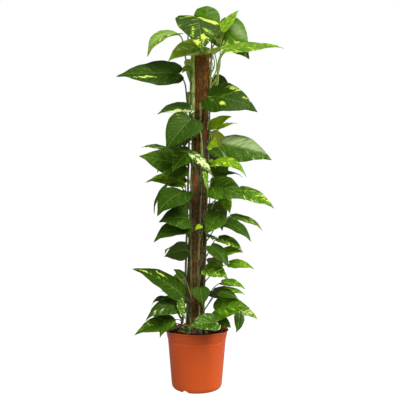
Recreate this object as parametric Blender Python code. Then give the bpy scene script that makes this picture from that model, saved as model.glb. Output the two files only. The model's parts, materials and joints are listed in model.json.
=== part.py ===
"""Golden pothos climbing a coir pole in a terracotta-coloured nursery pot.

Metres, +Z up. The origin is the centre of the pot's flat foot, and the front is -Y.
Pot, soil, the pole's core and its coir sleeve are turned or drawn solids. Each leafy
stem is one solid: its stem, leaf stalks and heart-shaped blades are grown from a
table and a rule, moved clear of each other, and joined by one Boolean union.
"""
import math
import random

import bmesh
import bpy
from mathutils import Matrix, Vector
from mathutils.bvhtree import BVHTree

MM = 0.001
GAP = 0.3 * MM
MERGE = 0.05 * MM
TURN_STEPS = 32

POT_HEIGHT = 0.210
RIM_RADIUS = 0.1225
LIP_HEIGHT = 0.0045
LIP_EDGE = 0.0015
BAND_TOP_RADIUS = 0.1185
BAND_HEIGHT = 0.033
BAND_FOOT_RADIUS = 0.1128
BODY_TOP_RADIUS = 0.1112
BODY_FOOT_RADIUS = 0.0954
FOOT_RADIUS = 0.0895
FOOT_CURVE_LOW = 0.005
FOOT_CURVE_HIGH = 0.013
POT_WALL = 0.0022
BAND_WALL = 1.6 * POT_WALL
POT_FLOOR = 0.0095
NOTCH_RADIUS = 0.0135
NOTCH_DROP = 0.0055
NOTCH_INSET = 0.012
NOTCH_ANGLES = (-117, 63)
DRAIN_RADIUS = 0.006
DRAIN_CIRCLE = 0.052
DRAIN_COUNT = 6

SOIL_TOP = 0.199
SOIL_EDGE = 0.196

POLE_FOOT = Vector((-0.0175, 0.0, 0.012))
POLE_LENGTH = 1.328
POLE_LEAN = math.radians(1.73)
SLEEVE_RADIUS = 0.032
CORE_RADIUS = 0.014
SLEEVE_CAP = 0.006
SLEEVE_ROUND = 0.008
POLE_SIDES = 24
CORE_SIDES = 16

STEM_RADIUS = 0.0045
STEM_SIDES = 7
STEM_STEP = 0.065
STEM_BURIED = 0.055
STEM_STAND_OFF = 0.0012
FLARE = 0.020
FLARE_FADE = 0.045

# A stalk leaves its stem outwards and upwards and comes to the blade from behind and
# below. The first four are shares of the distance from the node to the blade's notch,
# and STALK_LIMIT is how far a blade may sit above the top of its stem.
STALK_OUT = 0.32
STALK_UP = 0.34
STALK_BACK = 0.30
STALK_BELOW = 0.16
STALK_RADIUS = 0.0023
STALK_SIDES = 3
STALK_STEPS = 4
STALK_LAP = 0.06
STALK_SINK = 0.3
STALK_LIMIT = 0.15

BLADE_THICKNESS = 0.9 * MM
INNER_COLUMN = 0.55
VEINS_BY_LENGTH = ((0.090, 4), (0.150, 5), (1.000, 6))

# Ranges drawn for each blade, as fractions of its width: the fold along the midrib, how
# far the edges curl back, and the ripple of the edges.
FOLD_RANGE = (0.04, 0.22)
CURL_RANGE = (0.02, 0.07)
RIPPLE_RANGE = (0.010, 0.028)

# Settling the leaves clear of each other: test shapes a little thicker than the real
# ones, steps along a leaf's push line, and how far below the blade its node may sit.
TEST_THICKNESS = 4.5 * MM
TEST_VEINS = 4
TEST_SIDES = 5
STALK_CLEARANCE = 1.2 * MM
STEM_CLEARANCE = 1.0 * MM
PUSHES = [0.008 * step for step in range(18)]
RISES = (0.075, 0.050, 0.105, 0.030, 0.140, 0.180)

# By row of the table below: leaves that hang from a lower node, and leaves that are
# folded along the midrib by more or less than the draw gives.
LONG_STALKS = {6: 0.130, 9: 0.190}
FOLDS = {0: 0.24, 4: -0.26, 5: 0.06}

# Each climbing stem: angle round the pole at the soil and at its top, in degrees
# from +X towards +Y, the height of its top, and how much further from the pole it
# stands there.
STEMS = {
    "vine_left": (184, 192, 1.375, 0.010),
    "vine_front_left": (250, 201, 1.340, 0.0),
    "vine_front_right": (296, 272, 1.105, 0.0),
    "vine_right": (330, 354, 1.385, 0.0),
    "vine_back": (80, 104, 1.330, 0.0),
}

# Where the arrangement is looked at from. A leaf's x and z are given where it shows
# beside the pole, and its depth moves it along the line of sight, minus to the front.
EYE = Vector((0.012, -1.600, 0.500))

# The blade's half outline as fractions of its length and width, from the notch where
# the stalk joins, round the lobe, to the tip.
OUTLINE = (
    (0.00, 0.00), (-0.045, 0.07), (-0.075, 0.19), (-0.035, 0.35), (0.09, 0.465),
    (0.27, 0.50), (0.47, 0.43), (0.67, 0.295), (0.85, 0.12), (1.00, 0.00),
)

# Leaves that show from the front, back ones first, in millimetres and degrees: stalk
# joint x, z and depth, tip x, z and depth, blade width, angle of the blade to the
# line of sight (0 faces the front, 90 is edge-on, more shows the underside), arch.
FRONT_LEAVES = (
    (-88, 1434, 0, -211, 1338, -40, 112, 62, 0.15),
    (63, 1349, -45, 118, 1367, -55, 40, 125, 0.08),
    (33, 1372, -80, -126, 1313, -115, 140, 58, 0.08),
    (94, 1474, -60, 222, 1322, -105, 150, 20, 0.04),
    (40, 1466, -60, 42, 1535, 36, 108, 0, 0.28),
    (0, 1507, -95, 18, 1361, -215, 180, -18, 0.06),
    (118, 1360, -115, 370, 1376, -60, 84, 66, 0.02),
    (106, 1446, -110, 180, 1546, -70, 52, 44, 0.03),
    (-35, 1286, -55, -64, 1255, -75, 34, 40, 0.05),
    (-78, 1254, -50, -343, 1250, -80, 150, 51, 0.01),
    (-30, 1100, -45, -164, 1080, -75, 95, 60, 0.07),
    (46, 1150, -60, 254, 1090, -100, 160, 42, 0.10),
    (82, 1010, 20, 169, 1036, 30, 60, 75, 0.08),
    (53, 1023, -40, 144, 1068, -60, 70, 54, 0.05),
    (-5, 1036, -60, -58, 930, -85, 90, 35, 0.08),
    (-27, 1052, -85, -126, 928, -125, 128, 25, 0.05),
    (-128, 925, 5, -231, 934, 10, 65, 72, 0.08),
    (57, 917, -50, 76, 979, -60, 44, 33, 0.05),
    (103, 940, -60, 309, 885, -95, 150, 42, 0.06),
    (61, 921, -70, 110, 883, -85, 45, 24, 0.08),
    (-53, 783, 0, -210, 791, 5, 105, 57, 0.10),
    (-45, 854, -50, -239, 900, -85, 125, 28, 0.02),
    (-25, 917, -75, -104, 831, -110, 95, 30, 0.08),
    (-20, 905, -85, 63, 813, -115, 40, 30, 0.08),
    (69, 866, -80, 200, 812, -95, 64, 50, 0.24),
    (73, 820, 20, 187, 812, 40, 75, 78, 0.10),
    (55, 879, -60, 77, 845, -70, 28, 45, 0.05),
    (178, 752, -15, 315, 683, -20, 100, 58, 0.04),
    (65, 804, -60, 103, 771, -75, 38, 30, 0.05),
    (57, 767, -55, 194, 718, -90, 125, 40, 0.12),
    (30, 826, -85, 44, 743, -95, 20, 20, 0.04),
    (101, 733, -75, 134, 660, -95, 58, 32, 0.08),
    (-110, 790, -60, -177, 660, -90, 60, 75, 0.10),
    (-41, 746, -45, -77, 653, -60, 70, 35, 0.10),
    (-60, 744, -70, -158, 655, -105, 122, 42, 0.14),
    (-36, 640, -60, -149, 628, -90, 115, 42, 0.10),
    (140, 648, 5, 266, 591, -5, 85, 70, 0.12),
    (108, 624, -55, 219, 549, -85, 90, 57, 0.10),
    (90, 657, -80, 34, 576, -105, 85, 18, 0.06),
    (16, 610, -90, -8, 592, -105, 22, 25, 0.10),
    (-38, 612, -60, -172, 549, -95, 102, 48, 0.12),
    (88, 560, -45, 183, 509, -70, 75, 58, 0.10),
    (95, 497, -45, 185, 505, -60, 62, 54, 0.12),
    (131, 461, -20, 228, 440, -30, 66, 57, 0.10),
    (56, 529, -75, 127, 446, -105, 80, 46, 0.08),
    (-40, 513, -70, -131, 489, -85, 95, 140, 0.04),
    (34, 440, -70, 124, 402, -100, 88, 45, 0.08),
    (-52, 409, -30, -94, 439, -25, 38, 42, 0.06),
    (-58, 338, -65, -255, 446, -90, 118, 52, 0.06),
    (106, 357, 10, 191, 340, 15, 50, 61, 0.10),
    (99, 387, -50, 193, 361, -70, 62, 60, 0.10),
    (90, 349, -75, 164, 321, -95, 55, 50, 0.10),
    (12, 365, -95, 23, 297, -120, 66, 15, 0.06),
    (-113, 317, 15, -179, 296, 25, 46, 64, 0.28),
    (-82, 319, -20, -141, 355, -20, 46, 64, 0.08),
    (168, 266, -40, 154, 195, -62, 52, 38, 0.05),
    (71, 280, -70, 208, 290, -105, 105, 35, 0.12),
    (-56, 298, -60, -200, 244, -78, 112, 54, 0.18),
    (-93, 234, -60, -244, 190, -85, 104, 52, 0.08),
    (-97, 243, -85, -145, 178, -115, 58, 53, 0.08),
    (-66, 318, -100, -44, 244, -130, 32, 28, 0.12),
    (86, 240, -56, 134, 214, -72, 52, 34, 0.08),
    (78, 234, -100, -31, 217, -135, 80, 38, 0.06),
    (175, 277, -70, 238, 244, -85, 45, 53, 0.10),
)

# Leaves on the far side: ranges to draw from, angles in degrees. The last one or two
# stand up at the top instead of drooping.
BACK_SEED = 647
BACK_LEAVES = 21
BACK_LOWEST = 0.300
BACK_HIGHEST = 1.440
BACK_JITTER = 0.018
BACK_REACH = (0.080, 0.120)
BACK_SPREAD = (5, 62)
BACK_DROOP = (5, 62)
BACK_TOP_DROOP = (-25, 10)
BACK_TOP_SHARE = 0.93
BACK_LENGTH = (0.105, 0.195)
BACK_SIDE_CUT = 0.25
BACK_ROLL = 28
BACK_WIDTH = (0.62, 0.74)
BACK_ARCH = (0.08, 0.16)
BACK_NUMBER = 500


def clear_scene():
    for old in list(bpy.data.objects):
        bpy.data.objects.remove(old)


def material(name, colour, roughness):
    made = bpy.data.materials.new(name)
    made.use_nodes = True
    shader = made.node_tree.nodes["Principled BSDF"]
    shader.inputs["Base Color"].default_value = (*colour, 1.0)
    shader.inputs["Roughness"].default_value = roughness
    shader.inputs["Metallic"].default_value = 0.0
    made.diffuse_color = (*colour, 1.0)
    return made


def mesh_object(name, points, faces, finish=None):
    mesh = bpy.data.meshes.new(name)
    mesh.from_pydata([tuple(point) for point in points], [], faces)
    made = bpy.data.objects.new(name, mesh)
    bpy.context.scene.collection.objects.link(made)
    if finish:
        mesh.materials.append(finish)
    return made


def turned(name, profile, finish):
    """Spin a profile of (radius, height) points about Z."""
    edges = [(i, i + 1) for i in range(len(profile) - 1)]
    mesh = bpy.data.meshes.new(name)
    mesh.from_pydata([(radius, 0.0, height) for radius, height in profile], edges, [])
    mesh.materials.append(finish)
    made = bpy.data.objects.new(name, mesh)
    bpy.context.scene.collection.objects.link(made)
    spin = made.modifiers.new("spin", "SCREW")
    spin.axis = "Z"
    spin.angle = math.tau
    spin.steps = TURN_STEPS
    spin.render_steps = TURN_STEPS
    spin.use_merge_vertices = True
    spin.merge_threshold = MERGE
    return made


def rod(name, radius, length, sides):
    """Make a plain closed cylinder standing on its origin."""
    mesh = bpy.data.meshes.new(name)
    made = bpy.data.objects.new(name, mesh)
    bpy.context.scene.collection.objects.link(made)
    work = bmesh.new()
    bmesh.ops.create_cone(work, cap_ends=True, segments=sides, radius1=radius,
                          radius2=radius, depth=length)
    bmesh.ops.translate(work, verts=work.verts, vec=(0, 0, length / 2))
    work.to_mesh(mesh)
    work.free()
    return made


def as_cutter(tool, group):
    tool.hide_render = True
    tool.display_type = "WIRE"
    bpy.context.scene.collection.objects.unlink(tool)
    group.objects.link(tool)


def cut_with(target, group):
    cut = target.modifiers.new("cut", "BOOLEAN")
    cut.operation = "DIFFERENCE"
    cut.operand_type = "COLLECTION"
    cut.collection = group


def new_group(name):
    group = bpy.data.collections.new(name)
    bpy.context.scene.collection.children.link(group)
    return group


def inner_wall():
    """Give the pot's inner side as (radius, height) points, from the floor up."""
    band_bottom = POT_HEIGHT - BAND_HEIGHT
    return [
        (BODY_FOOT_RADIUS - 2 * POT_WALL, POT_FLOOR),
        (BODY_TOP_RADIUS - POT_WALL, band_bottom - 0.003),
        (BAND_FOOT_RADIUS - BAND_WALL, band_bottom + 0.004),
        (BAND_TOP_RADIUS - BAND_WALL, POT_HEIGHT - LIP_HEIGHT),
        (RIM_RADIUS - BAND_WALL, POT_HEIGHT - LIP_EDGE),
    ]


def make_pot():
    band_bottom = POT_HEIGHT - BAND_HEIGHT
    outside = [
        (RIM_RADIUS - BAND_WALL / 2, POT_HEIGHT),
        (RIM_RADIUS, POT_HEIGHT - LIP_EDGE),
        (RIM_RADIUS - 0.0006, POT_HEIGHT - LIP_HEIGHT + 0.001),
        (BAND_TOP_RADIUS, POT_HEIGHT - LIP_HEIGHT - 0.0025),
        (BAND_FOOT_RADIUS, band_bottom),
        (BODY_TOP_RADIUS + 0.0006, band_bottom - 0.001),
        (BODY_TOP_RADIUS, band_bottom - 0.004),
        (BODY_FOOT_RADIUS, FOOT_CURVE_HIGH),
        (BODY_FOOT_RADIUS - POT_WALL, FOOT_CURVE_LOW),
        (FOOT_RADIUS, 0.0),
        (0.0, 0.0),
    ]
    profile = [(0.0, POT_FLOOR)] + inner_wall() + outside
    pot = turned("pot", profile, material("terracotta plastic", (0.57, 0.09, 0.018), 0.42))
    cutters = new_group("pot_cutters")
    for angle in NOTCH_ANGLES:
        notch = rod("notch_cutter", NOTCH_RADIUS, 0.030, 20)
        turn = Matrix.Rotation(math.radians(angle), 4, "Z")
        place = Matrix.Translation((FOOT_RADIUS - NOTCH_INSET, 0, -NOTCH_DROP))
        notch.matrix_world = turn @ place @ Matrix.Rotation(math.pi / 2, 4, "Y")
        as_cutter(notch, cutters)
    for index in range(DRAIN_COUNT):
        drain = rod("drain_cutter", DRAIN_RADIUS, 2 * POT_FLOOR, 12)
        angle = math.tau * (index + 0.5) / DRAIN_COUNT
        drain.location = (DRAIN_CIRCLE * math.cos(angle), DRAIN_CIRCLE * math.sin(angle),
                          -POT_FLOOR / 2)
        as_cutter(drain, cutters)
    cut_with(pot, cutters)


def pole_place():
    return Matrix.Translation(POLE_FOOT) @ Matrix.Rotation(POLE_LEAN, 4, "Y")


def pole_axis(height):
    """Give the point of the pole's axis at a height."""
    return Vector((POLE_FOOT.x + math.tan(POLE_LEAN) * (height - POLE_FOOT.z), 0.0, height))


def make_pole():
    top = POLE_LENGTH
    bore = CORE_RADIUS + GAP
    sleeve_profile = [
        (0.0, top), (SLEEVE_RADIUS - 0.005, top - 0.0015), (SLEEVE_RADIUS, top - SLEEVE_ROUND),
        (SLEEVE_RADIUS, 0.0), (bore, 0.0), (bore, top - SLEEVE_CAP), (0.0, top - SLEEVE_CAP),
    ]
    sleeve = turned("coir_sleeve", sleeve_profile, material("coir", (0.13, 0.045, 0.016), 0.95))
    sleeve.modifiers["spin"].steps = POLE_SIDES
    sleeve.modifiers["spin"].render_steps = POLE_SIDES
    sleeve.matrix_world = pole_place()
    core = rod("pole_core", CORE_RADIUS, POLE_LENGTH - SLEEVE_CAP - GAP, CORE_SIDES)
    core.data.materials.append(material("stake wood", (0.42, 0.27, 0.14), 0.8))
    core.matrix_world = pole_place()


def make_soil(stems):
    profile = [(0.0, SOIL_TOP), (0.050, SOIL_TOP - 0.001)]
    wall = inner_wall()
    slope = (wall[3][0] - wall[2][0]) / (wall[3][1] - wall[2][1])
    edge_radius = wall[2][0] + slope * (SOIL_EDGE - wall[2][1])
    profile.append((edge_radius - 0.010, SOIL_EDGE + 0.001))
    profile.append((edge_radius - 2 * GAP, SOIL_EDGE))
    profile += [(radius - 2 * GAP, height) for radius, height in reversed(wall[1:3])]
    profile.append((wall[0][0] - 2 * GAP, wall[0][1] + GAP))
    profile.append((0.0, wall[0][1] + GAP))
    soil = turned("soil", profile, material("potting soil", (0.030, 0.017, 0.010), 1.0))
    cutters = new_group("soil_cutters")
    pole_hole = rod("pole_hole", SLEEVE_RADIUS + GAP, 0.3, POLE_SIDES)
    pole_hole.matrix_world = pole_place() @ Matrix.Translation((0, 0, -GAP))
    as_cutter(pole_hole, cutters)
    for name, path in stems.items():
        radius = STEM_RADIUS + GAP
        end = path[0] - GAP * Vector((0, 0, 1))
        as_cutter(tube(name + "_hole", [end] + path[1:5], radius, radius, STEM_SIDES), cutters)
    cut_with(soil, cutters)


def ring_frames(path):
    """Give two cross directions at each point of a path, turned as little as possible."""
    frames = []
    across = None
    for index, point in enumerate(path):
        before = path[max(index - 1, 0)]
        after = path[min(index + 1, len(path) - 1)]
        along = (after - before).normalized()
        guess = across or Vector((1.0, 0.1, 0.0))
        across = (guess - along * guess.dot(along)).normalized()
        frames.append((across, along.cross(across)))
    return frames


def bar_shape(path, first_radius, last_radius, sides):
    """Give the points and faces of a closed round bar along a path."""
    points = []
    last = len(path) - 1
    for index, (centre, (across, beside)) in enumerate(zip(path, ring_frames(path))):
        radius = first_radius + (last_radius - first_radius) * index / last
        for side in range(sides):
            angle = math.tau * side / sides
            offset = math.cos(angle) * across + math.sin(angle) * beside
            points.append(centre + radius * offset)
    faces = [tuple(reversed(range(sides)))]
    for ring in range(last):
        for side in range(sides):
            here = ring * sides + side
            beside = ring * sides + (side + 1) % sides
            faces.append((here, beside, beside + sides, here + sides))
    faces.append(tuple(range(last * sides, (last + 1) * sides)))
    return points, faces


def tube(name, path, first_radius, last_radius, sides, finish=None):
    return mesh_object(name, *bar_shape(path, first_radius, last_radius, sides), finish)


def stem_point(name, height):
    """Give the centre of a climbing stem at a height."""
    low_angle, top_angle, top, spread = STEMS[name]
    share = max(0.0, (height - SOIL_TOP) / (top - SOIL_TOP))
    wander = 5.0 * math.sin(9.0 * height + low_angle)
    angle = math.radians(low_angle + (top_angle - low_angle) * share + wander)
    reach = SLEEVE_RADIUS + STEM_RADIUS + STEM_STAND_OFF + spread * share
    reach += FLARE * math.exp(-max(0.0, height - SOIL_TOP) / FLARE_FADE)
    return pole_axis(height) + reach * Vector((math.cos(angle), math.sin(angle), 0.0))


def stem_path(name):
    top = STEMS[name][2]
    bottom = SOIL_TOP - STEM_BURIED
    count = round((top - bottom) / STEM_STEP)
    heights = [bottom + (top - bottom) * i / count for i in range(count + 1)]
    return [stem_point(name, height) for height in heights]


def outline_point(share):
    """Read the blade's outline at a share of the way round, 0 to 1."""
    spot = min(share, 0.9999) * (len(OUTLINE) - 1)
    index = int(spot)
    part = spot - index
    four = [OUTLINE[min(max(index + k, 0), len(OUTLINE) - 1)] for k in (-1, 0, 1, 2)]
    result = []
    for before, here, there, beyond in zip(*four):
        result.append(here + 0.5 * part * (there - before + part * (
            2 * before - 5 * here + 4 * there - beyond + part * (
                3 * (here - there) + beyond - before))))
    return result


def vein_start(share):
    """Give where on the midrib the vein to an outline point starts."""
    return max(0.0, (share - 0.30) / 0.70) ** 1.3


class Leaf:
    """One blade: where it sits, which way it faces and how it curves."""

    def __init__(self, base, tip, facing, width, arch, number):
        self.base = base
        self.length = (tip - base).length
        self.axis = (tip - base).normalized()
        self.normal = (facing - self.axis * facing.dot(self.axis)).normalized()
        self.side = self.normal.cross(self.axis)
        self.width = width
        self.arch = arch
        draw = random.Random(number)
        drawn_fold = draw.uniform(*FOLD_RANGE)
        self.fold = FOLDS.get(number, drawn_fold)
        self.curl = draw.uniform(*CURL_RANGE)
        self.wave = draw.uniform(*RIPPLE_RANGE)
        self.phase = draw.uniform(0.0, math.tau)
        self.rises = ((LONG_STALKS[number],) if number in LONG_STALKS else ()) + RISES

    def point(self, along, across):
        """Place a point given by fractions of the blade's length and width."""
        out = 2 * abs(across)
        lift = self.arch * self.length * 4 * along * (1 - along)
        lift += self.width * (self.fold * out / 2 - self.curl * out * out)
        ripple = math.sin(9.0 * along + self.phase + (2.2 if across > 0 else 0.0))
        lift += self.wave * self.width * ripple * out * out
        return (self.base + self.axis * along * self.length
                + self.side * across * self.width + self.normal * lift)

    def moved(self, shift):
        copy = object.__new__(Leaf)
        copy.__dict__.update(self.__dict__)
        copy.base = self.base + shift
        return copy


def blade_sheet(leaf, veins):
    """Give one face of a blade as points and triangles, and its rim in order."""
    points = [leaf.point(0.0, 0.0)]
    grid = {}
    for row in range(1, veins + 1):
        share = row / (veins + 1)
        along, across = outline_point(share)
        start = vein_start(share)
        if start > 0:
            grid[row, 0] = len(points)
            points.append(leaf.point(start, 0.0))
        else:
            grid[row, 0] = 0
        for hand in (-1, 1):
            grid[row, hand] = len(points)
            inner = start + INNER_COLUMN * (along - start)
            points.append(leaf.point(inner, hand * INNER_COLUMN * across))
            grid[row, 2 * hand] = len(points)
            points.append(leaf.point(along, hand * across))
    tip = len(points)
    points.append(leaf.point(1.0, 0.0))
    faces = []
    for hand in (-1, 1):
        for row in range(1, veins):
            for inner, outer in ((0, hand), (hand, 2 * hand)):
                a, b = grid[row, inner], grid[row, outer]
                c, d = grid[row + 1, outer], grid[row + 1, inner]
                pair = [(a, b, c), (a, c, d)]
                faces += [face[::hand] for face in pair if len(set(face)) == 3]
        faces.append((grid[veins, 0], grid[veins, hand], tip)[::hand])
        faces.append((grid[veins, hand], grid[veins, 2 * hand], tip)[::hand])
    left = [grid[1, -1]] + [grid[row, -2] for row in range(1, veins + 1)]
    right = [grid[1, 1]] + [grid[row, 2] for row in range(1, veins + 1)]
    rim = [0] + right + [tip] + left[::-1]
    return points, faces, rim


def blade_solid(leaf, veins, thickness):
    """Thicken a blade's sheet along its own normals into a closed solid."""
    points, faces, rim = blade_sheet(leaf, veins)
    normals = [Vector() for _ in points]
    for a, b, c in faces:
        cross = (points[b] - points[a]).cross(points[c] - points[a])
        for index in (a, b, c):
            normals[index] += cross
    normals = [normal.normalized() for normal in normals]
    count = len(points)
    half = thickness / 2
    upper = [point + half * normal for point, normal in zip(points, normals)]
    lower = [point - half * normal for point, normal in zip(points, normals)]
    solid = list(faces) + [tuple(i + count for i in reversed(face)) for face in faces]
    for here, there in zip(rim, rim[1:] + rim[:1]):
        solid += [(here, here + count, there + count), (here, there + count, there)]
    return upper + lower, solid


def stalk_path(leaf, stem_name, rise, steps):
    """Curve a leaf stalk from its node on the stem to the notch of its blade."""
    top = STEMS[stem_name][2] - 0.012
    node = min(max(leaf.base.z - rise, SOIL_TOP + 0.010), top)
    start = stem_point(stem_name, node)
    outward = start - pole_axis(node)
    outward.normalize()
    reach = (leaf.base - start).length
    first = start + reach * (STALK_OUT * outward + STALK_UP * Vector((0, 0, 1)))
    end = leaf.point(STALK_LAP, 0.0) - STALK_SINK * STALK_RADIUS * leaf.normal
    second = leaf.base - reach * (STALK_BACK * leaf.axis + STALK_BELOW * leaf.normal)
    path = []
    for index in range(steps + 1):
        t = index / steps
        path.append((1 - t) ** 3 * start + 3 * t * (1 - t) ** 2 * first
                    + 3 * t * t * (1 - t) * second + t ** 3 * end)
    return path


def tree_of(made):
    """Read an object's faces, in the world, into a search tree."""
    graph = bpy.context.evaluated_depsgraph_get()
    mesh = made.evaluated_get(graph).to_mesh()
    points = [made.matrix_world @ vertex.co for vertex in mesh.vertices]
    return BVHTree.FromPolygons(points, [tuple(face.vertices) for face in mesh.polygons])


def bar_tree(path, radius):
    """Read a bar of a test radius into a search tree."""
    return BVHTree.FromPolygons(*bar_shape(path, radius, radius, TEST_SIDES))


def nearest_stem(base):
    """Choose, of the stems that grow high enough, the one on a blade's side of the pole."""
    def turn(name):
        height = min(base.z, STEMS[name][2])
        away = base - pole_axis(base.z)
        arm = stem_point(name, height) - pole_axis(height)
        return Vector((away.x, away.y)).angle(Vector((arm.x, arm.y)))
    return min((name for name in STEMS if STEMS[name][2] > base.z - STALK_LIMIT), key=turn)


def crossings(tree, others):
    return sum(len(tree.overlap(other)) for other in others)


def settle(leaf, push_line, stem_name, placed):
    """Move a blade along its line, and its stalk's node up or down, until both are clear."""
    best = None
    own_bars = (stem_name + " stem", stem_name + " stalk")
    fixed = [tree for owner, tree in placed if owner not in own_bars]
    every = [tree for owner, tree in placed]
    for push in PUSHES:
        trial = leaf.moved(push * push_line)
        blade = BVHTree.FromPolygons(*blade_solid(trial, TEST_VEINS, TEST_THICKNESS))
        hits = crossings(blade, every)
        if best and hits >= best[0]:
            continue
        for rise in leaf.rises:
            path = stalk_path(trial, stem_name, rise, STALK_STEPS)
            stalk = bar_tree(path, STALK_RADIUS + STALK_CLEARANCE)
            total = hits + crossings(stalk, fixed)
            if best is None or total < best[0]:
                best = (total, trial, path, blade, stalk)
            if total == 0:
                break
        if best[0] == 0:
            break
    return best


def sight_point(x, z, depth):
    """Give the point at a depth that shows where (x, z) shows beside the pole, from mm."""
    beside = Vector((x * MM, 0.0, z * MM))
    return EYE.lerp(beside, 1.0 + depth * MM / -EYE.y)


def front_leaf(row, number):
    x, z, depth, tip_x, tip_z, tip_depth, width, turn, arch = row
    base = sight_point(x, z, depth)
    tip = sight_point(tip_x, tip_z, tip_depth)
    axis = (tip - base).normalized()
    to_eye = (EYE - base).normalized()
    facing = (to_eye - axis * axis.dot(to_eye)).normalized()
    lifted = axis.cross(facing)
    outward = 0.4 if base.x > pole_axis(base.z).x else -0.4
    if lifted.dot(Vector((outward, 0.0, 1.0))) < 0:
        lifted.negate()
    angle = math.radians(turn)
    facing = math.cos(angle) * facing + math.sin(angle) * lifted
    leaf = Leaf(base, tip, facing, width * MM, arch, number)
    return leaf, to_eye


def back_leaf(index, draw):
    """Set a leaf on the far side of the pole, drooping outwards."""
    share = index / (BACK_LEAVES - 1)
    height = BACK_LOWEST + (BACK_HIGHEST - BACK_LOWEST) * share
    height += draw.uniform(-BACK_JITTER, BACK_JITTER)
    spread = draw.uniform(*BACK_SPREAD)
    angle = math.radians(90 + (-1) ** index * spread)
    outward = Vector((math.cos(angle), math.sin(angle), 0.0))
    base = pole_axis(height) + draw.uniform(*BACK_REACH) * outward
    droop = draw.uniform(*(BACK_DROOP if share < BACK_TOP_SHARE else BACK_TOP_DROOP))
    down = math.radians(droop)
    length = draw.uniform(*BACK_LENGTH) * (1 - BACK_SIDE_CUT * spread / BACK_SPREAD[1])
    tip = base + length * (math.cos(down) * outward - math.sin(down) * Vector((0, 0, 1)))
    roll = math.radians(draw.uniform(-BACK_ROLL, BACK_ROLL))
    sideways = Vector((-outward.y, outward.x, 0.0))
    facing = Vector((0, 0, 1)) * math.cos(roll) + sideways * math.sin(roll)
    width = length * draw.uniform(*BACK_WIDTH)
    leaf = Leaf(base, tip, facing, width, draw.uniform(*BACK_ARCH), BACK_NUMBER + index)
    return leaf, outward


def arrange_leaves(paths):
    """Place every leaf clear of the pot, the pole, the stems and the leaves before it."""
    placed = []
    for name in ("pot", "soil", "coir_sleeve"):
        placed.append((name, tree_of(bpy.data.objects[name])))
    for name, path in paths.items():
        placed.append((name + " stem", bar_tree(path, STEM_RADIUS + STEM_CLEARANCE)))
    draw = random.Random(BACK_SEED)
    wanted = [back_leaf(index, draw) for index in range(BACK_LEAVES)]
    wanted += [front_leaf(row, number) for number, row in enumerate(FRONT_LEAVES)]
    leaves = []
    for leaf, push_line in wanted:
        stem_name = nearest_stem(leaf.base)
        hits, settled, path, blade_tree, stalk = settle(leaf, push_line, stem_name, placed)
        placed.append((stem_name, blade_tree))
        placed.append((stem_name + " stalk", stalk))
        leaves.append((stem_name, settled, path, hits))
    return leaves


def is_closed(mesh):
    work = bmesh.new()
    work.from_mesh(mesh)
    closed = all(len(edge.link_faces) == 2 for edge in work.edges)
    work.free()
    return closed


def join_vine(stem, group):
    """Fuse a stem with its stalks and blades into one solid."""
    union = stem.modifiers.new("union", "BOOLEAN")
    union.operation = "UNION"
    union.operand_type = "COLLECTION"
    union.collection = group
    for solver in ("EXACT", "MANIFOLD"):
        union.solver = solver
        graph = bpy.context.evaluated_depsgraph_get()
        fused = bpy.data.meshes.new_from_object(stem.evaluated_get(graph))
        if is_closed(fused):
            break
    stem.modifiers.clear()
    stem.data = fused
    for piece in list(group.objects):
        bpy.data.objects.remove(piece)
    bpy.data.collections.remove(group)


def make_vines(paths, leaves):
    finish = material("pothos leaf", (0.060, 0.165, 0.018), 0.38)
    for name, path in paths.items():
        stem = tube(name, path, STEM_RADIUS, 0.8 * STEM_RADIUS, STEM_SIDES, finish)
        group = new_group(name + "_pieces")
        own = [leaf for leaf in leaves if leaf[0] == name]
        for _, leaf, stalk, _ in own:
            veins = next(count for limit, count in VEINS_BY_LENGTH if leaf.length < limit)
            blade = mesh_object("blade", *blade_solid(leaf, veins, BLADE_THICKNESS), finish)
            bar = tube("stalk", stalk, STALK_RADIUS, 0.75 * STALK_RADIUS, STALK_SIDES, finish)
            for piece in (blade, bar):
                bpy.context.scene.collection.objects.unlink(piece)
                group.objects.link(piece)
        join_vine(stem, group)


clear_scene()
make_pot()
make_pole()
stem_paths = {name: stem_path(name) for name in STEMS}
make_soil(stem_paths)
all_leaves = arrange_leaves(stem_paths)
make_vines(stem_paths, all_leaves)
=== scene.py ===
"""Looks of a golden pothos climbing a coir pole in a terracotta-coloured nursery pot.

Metres, +Z up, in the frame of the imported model, with the front at -Y. Every leaf sits
where the model's rule puts it and is built again here as a fine blade with veins,
a rolled edge and streaks. Stems, leaf stalks, air roots, coir, soil and the pot get
fine meshes of their own in the places of the plain solids.
"""
import json
import math
import random

import bmesh
import bpy
import numpy as np
from mathutils import Matrix, Vector, noise
from mathutils.bvhtree import BVHTree

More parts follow.
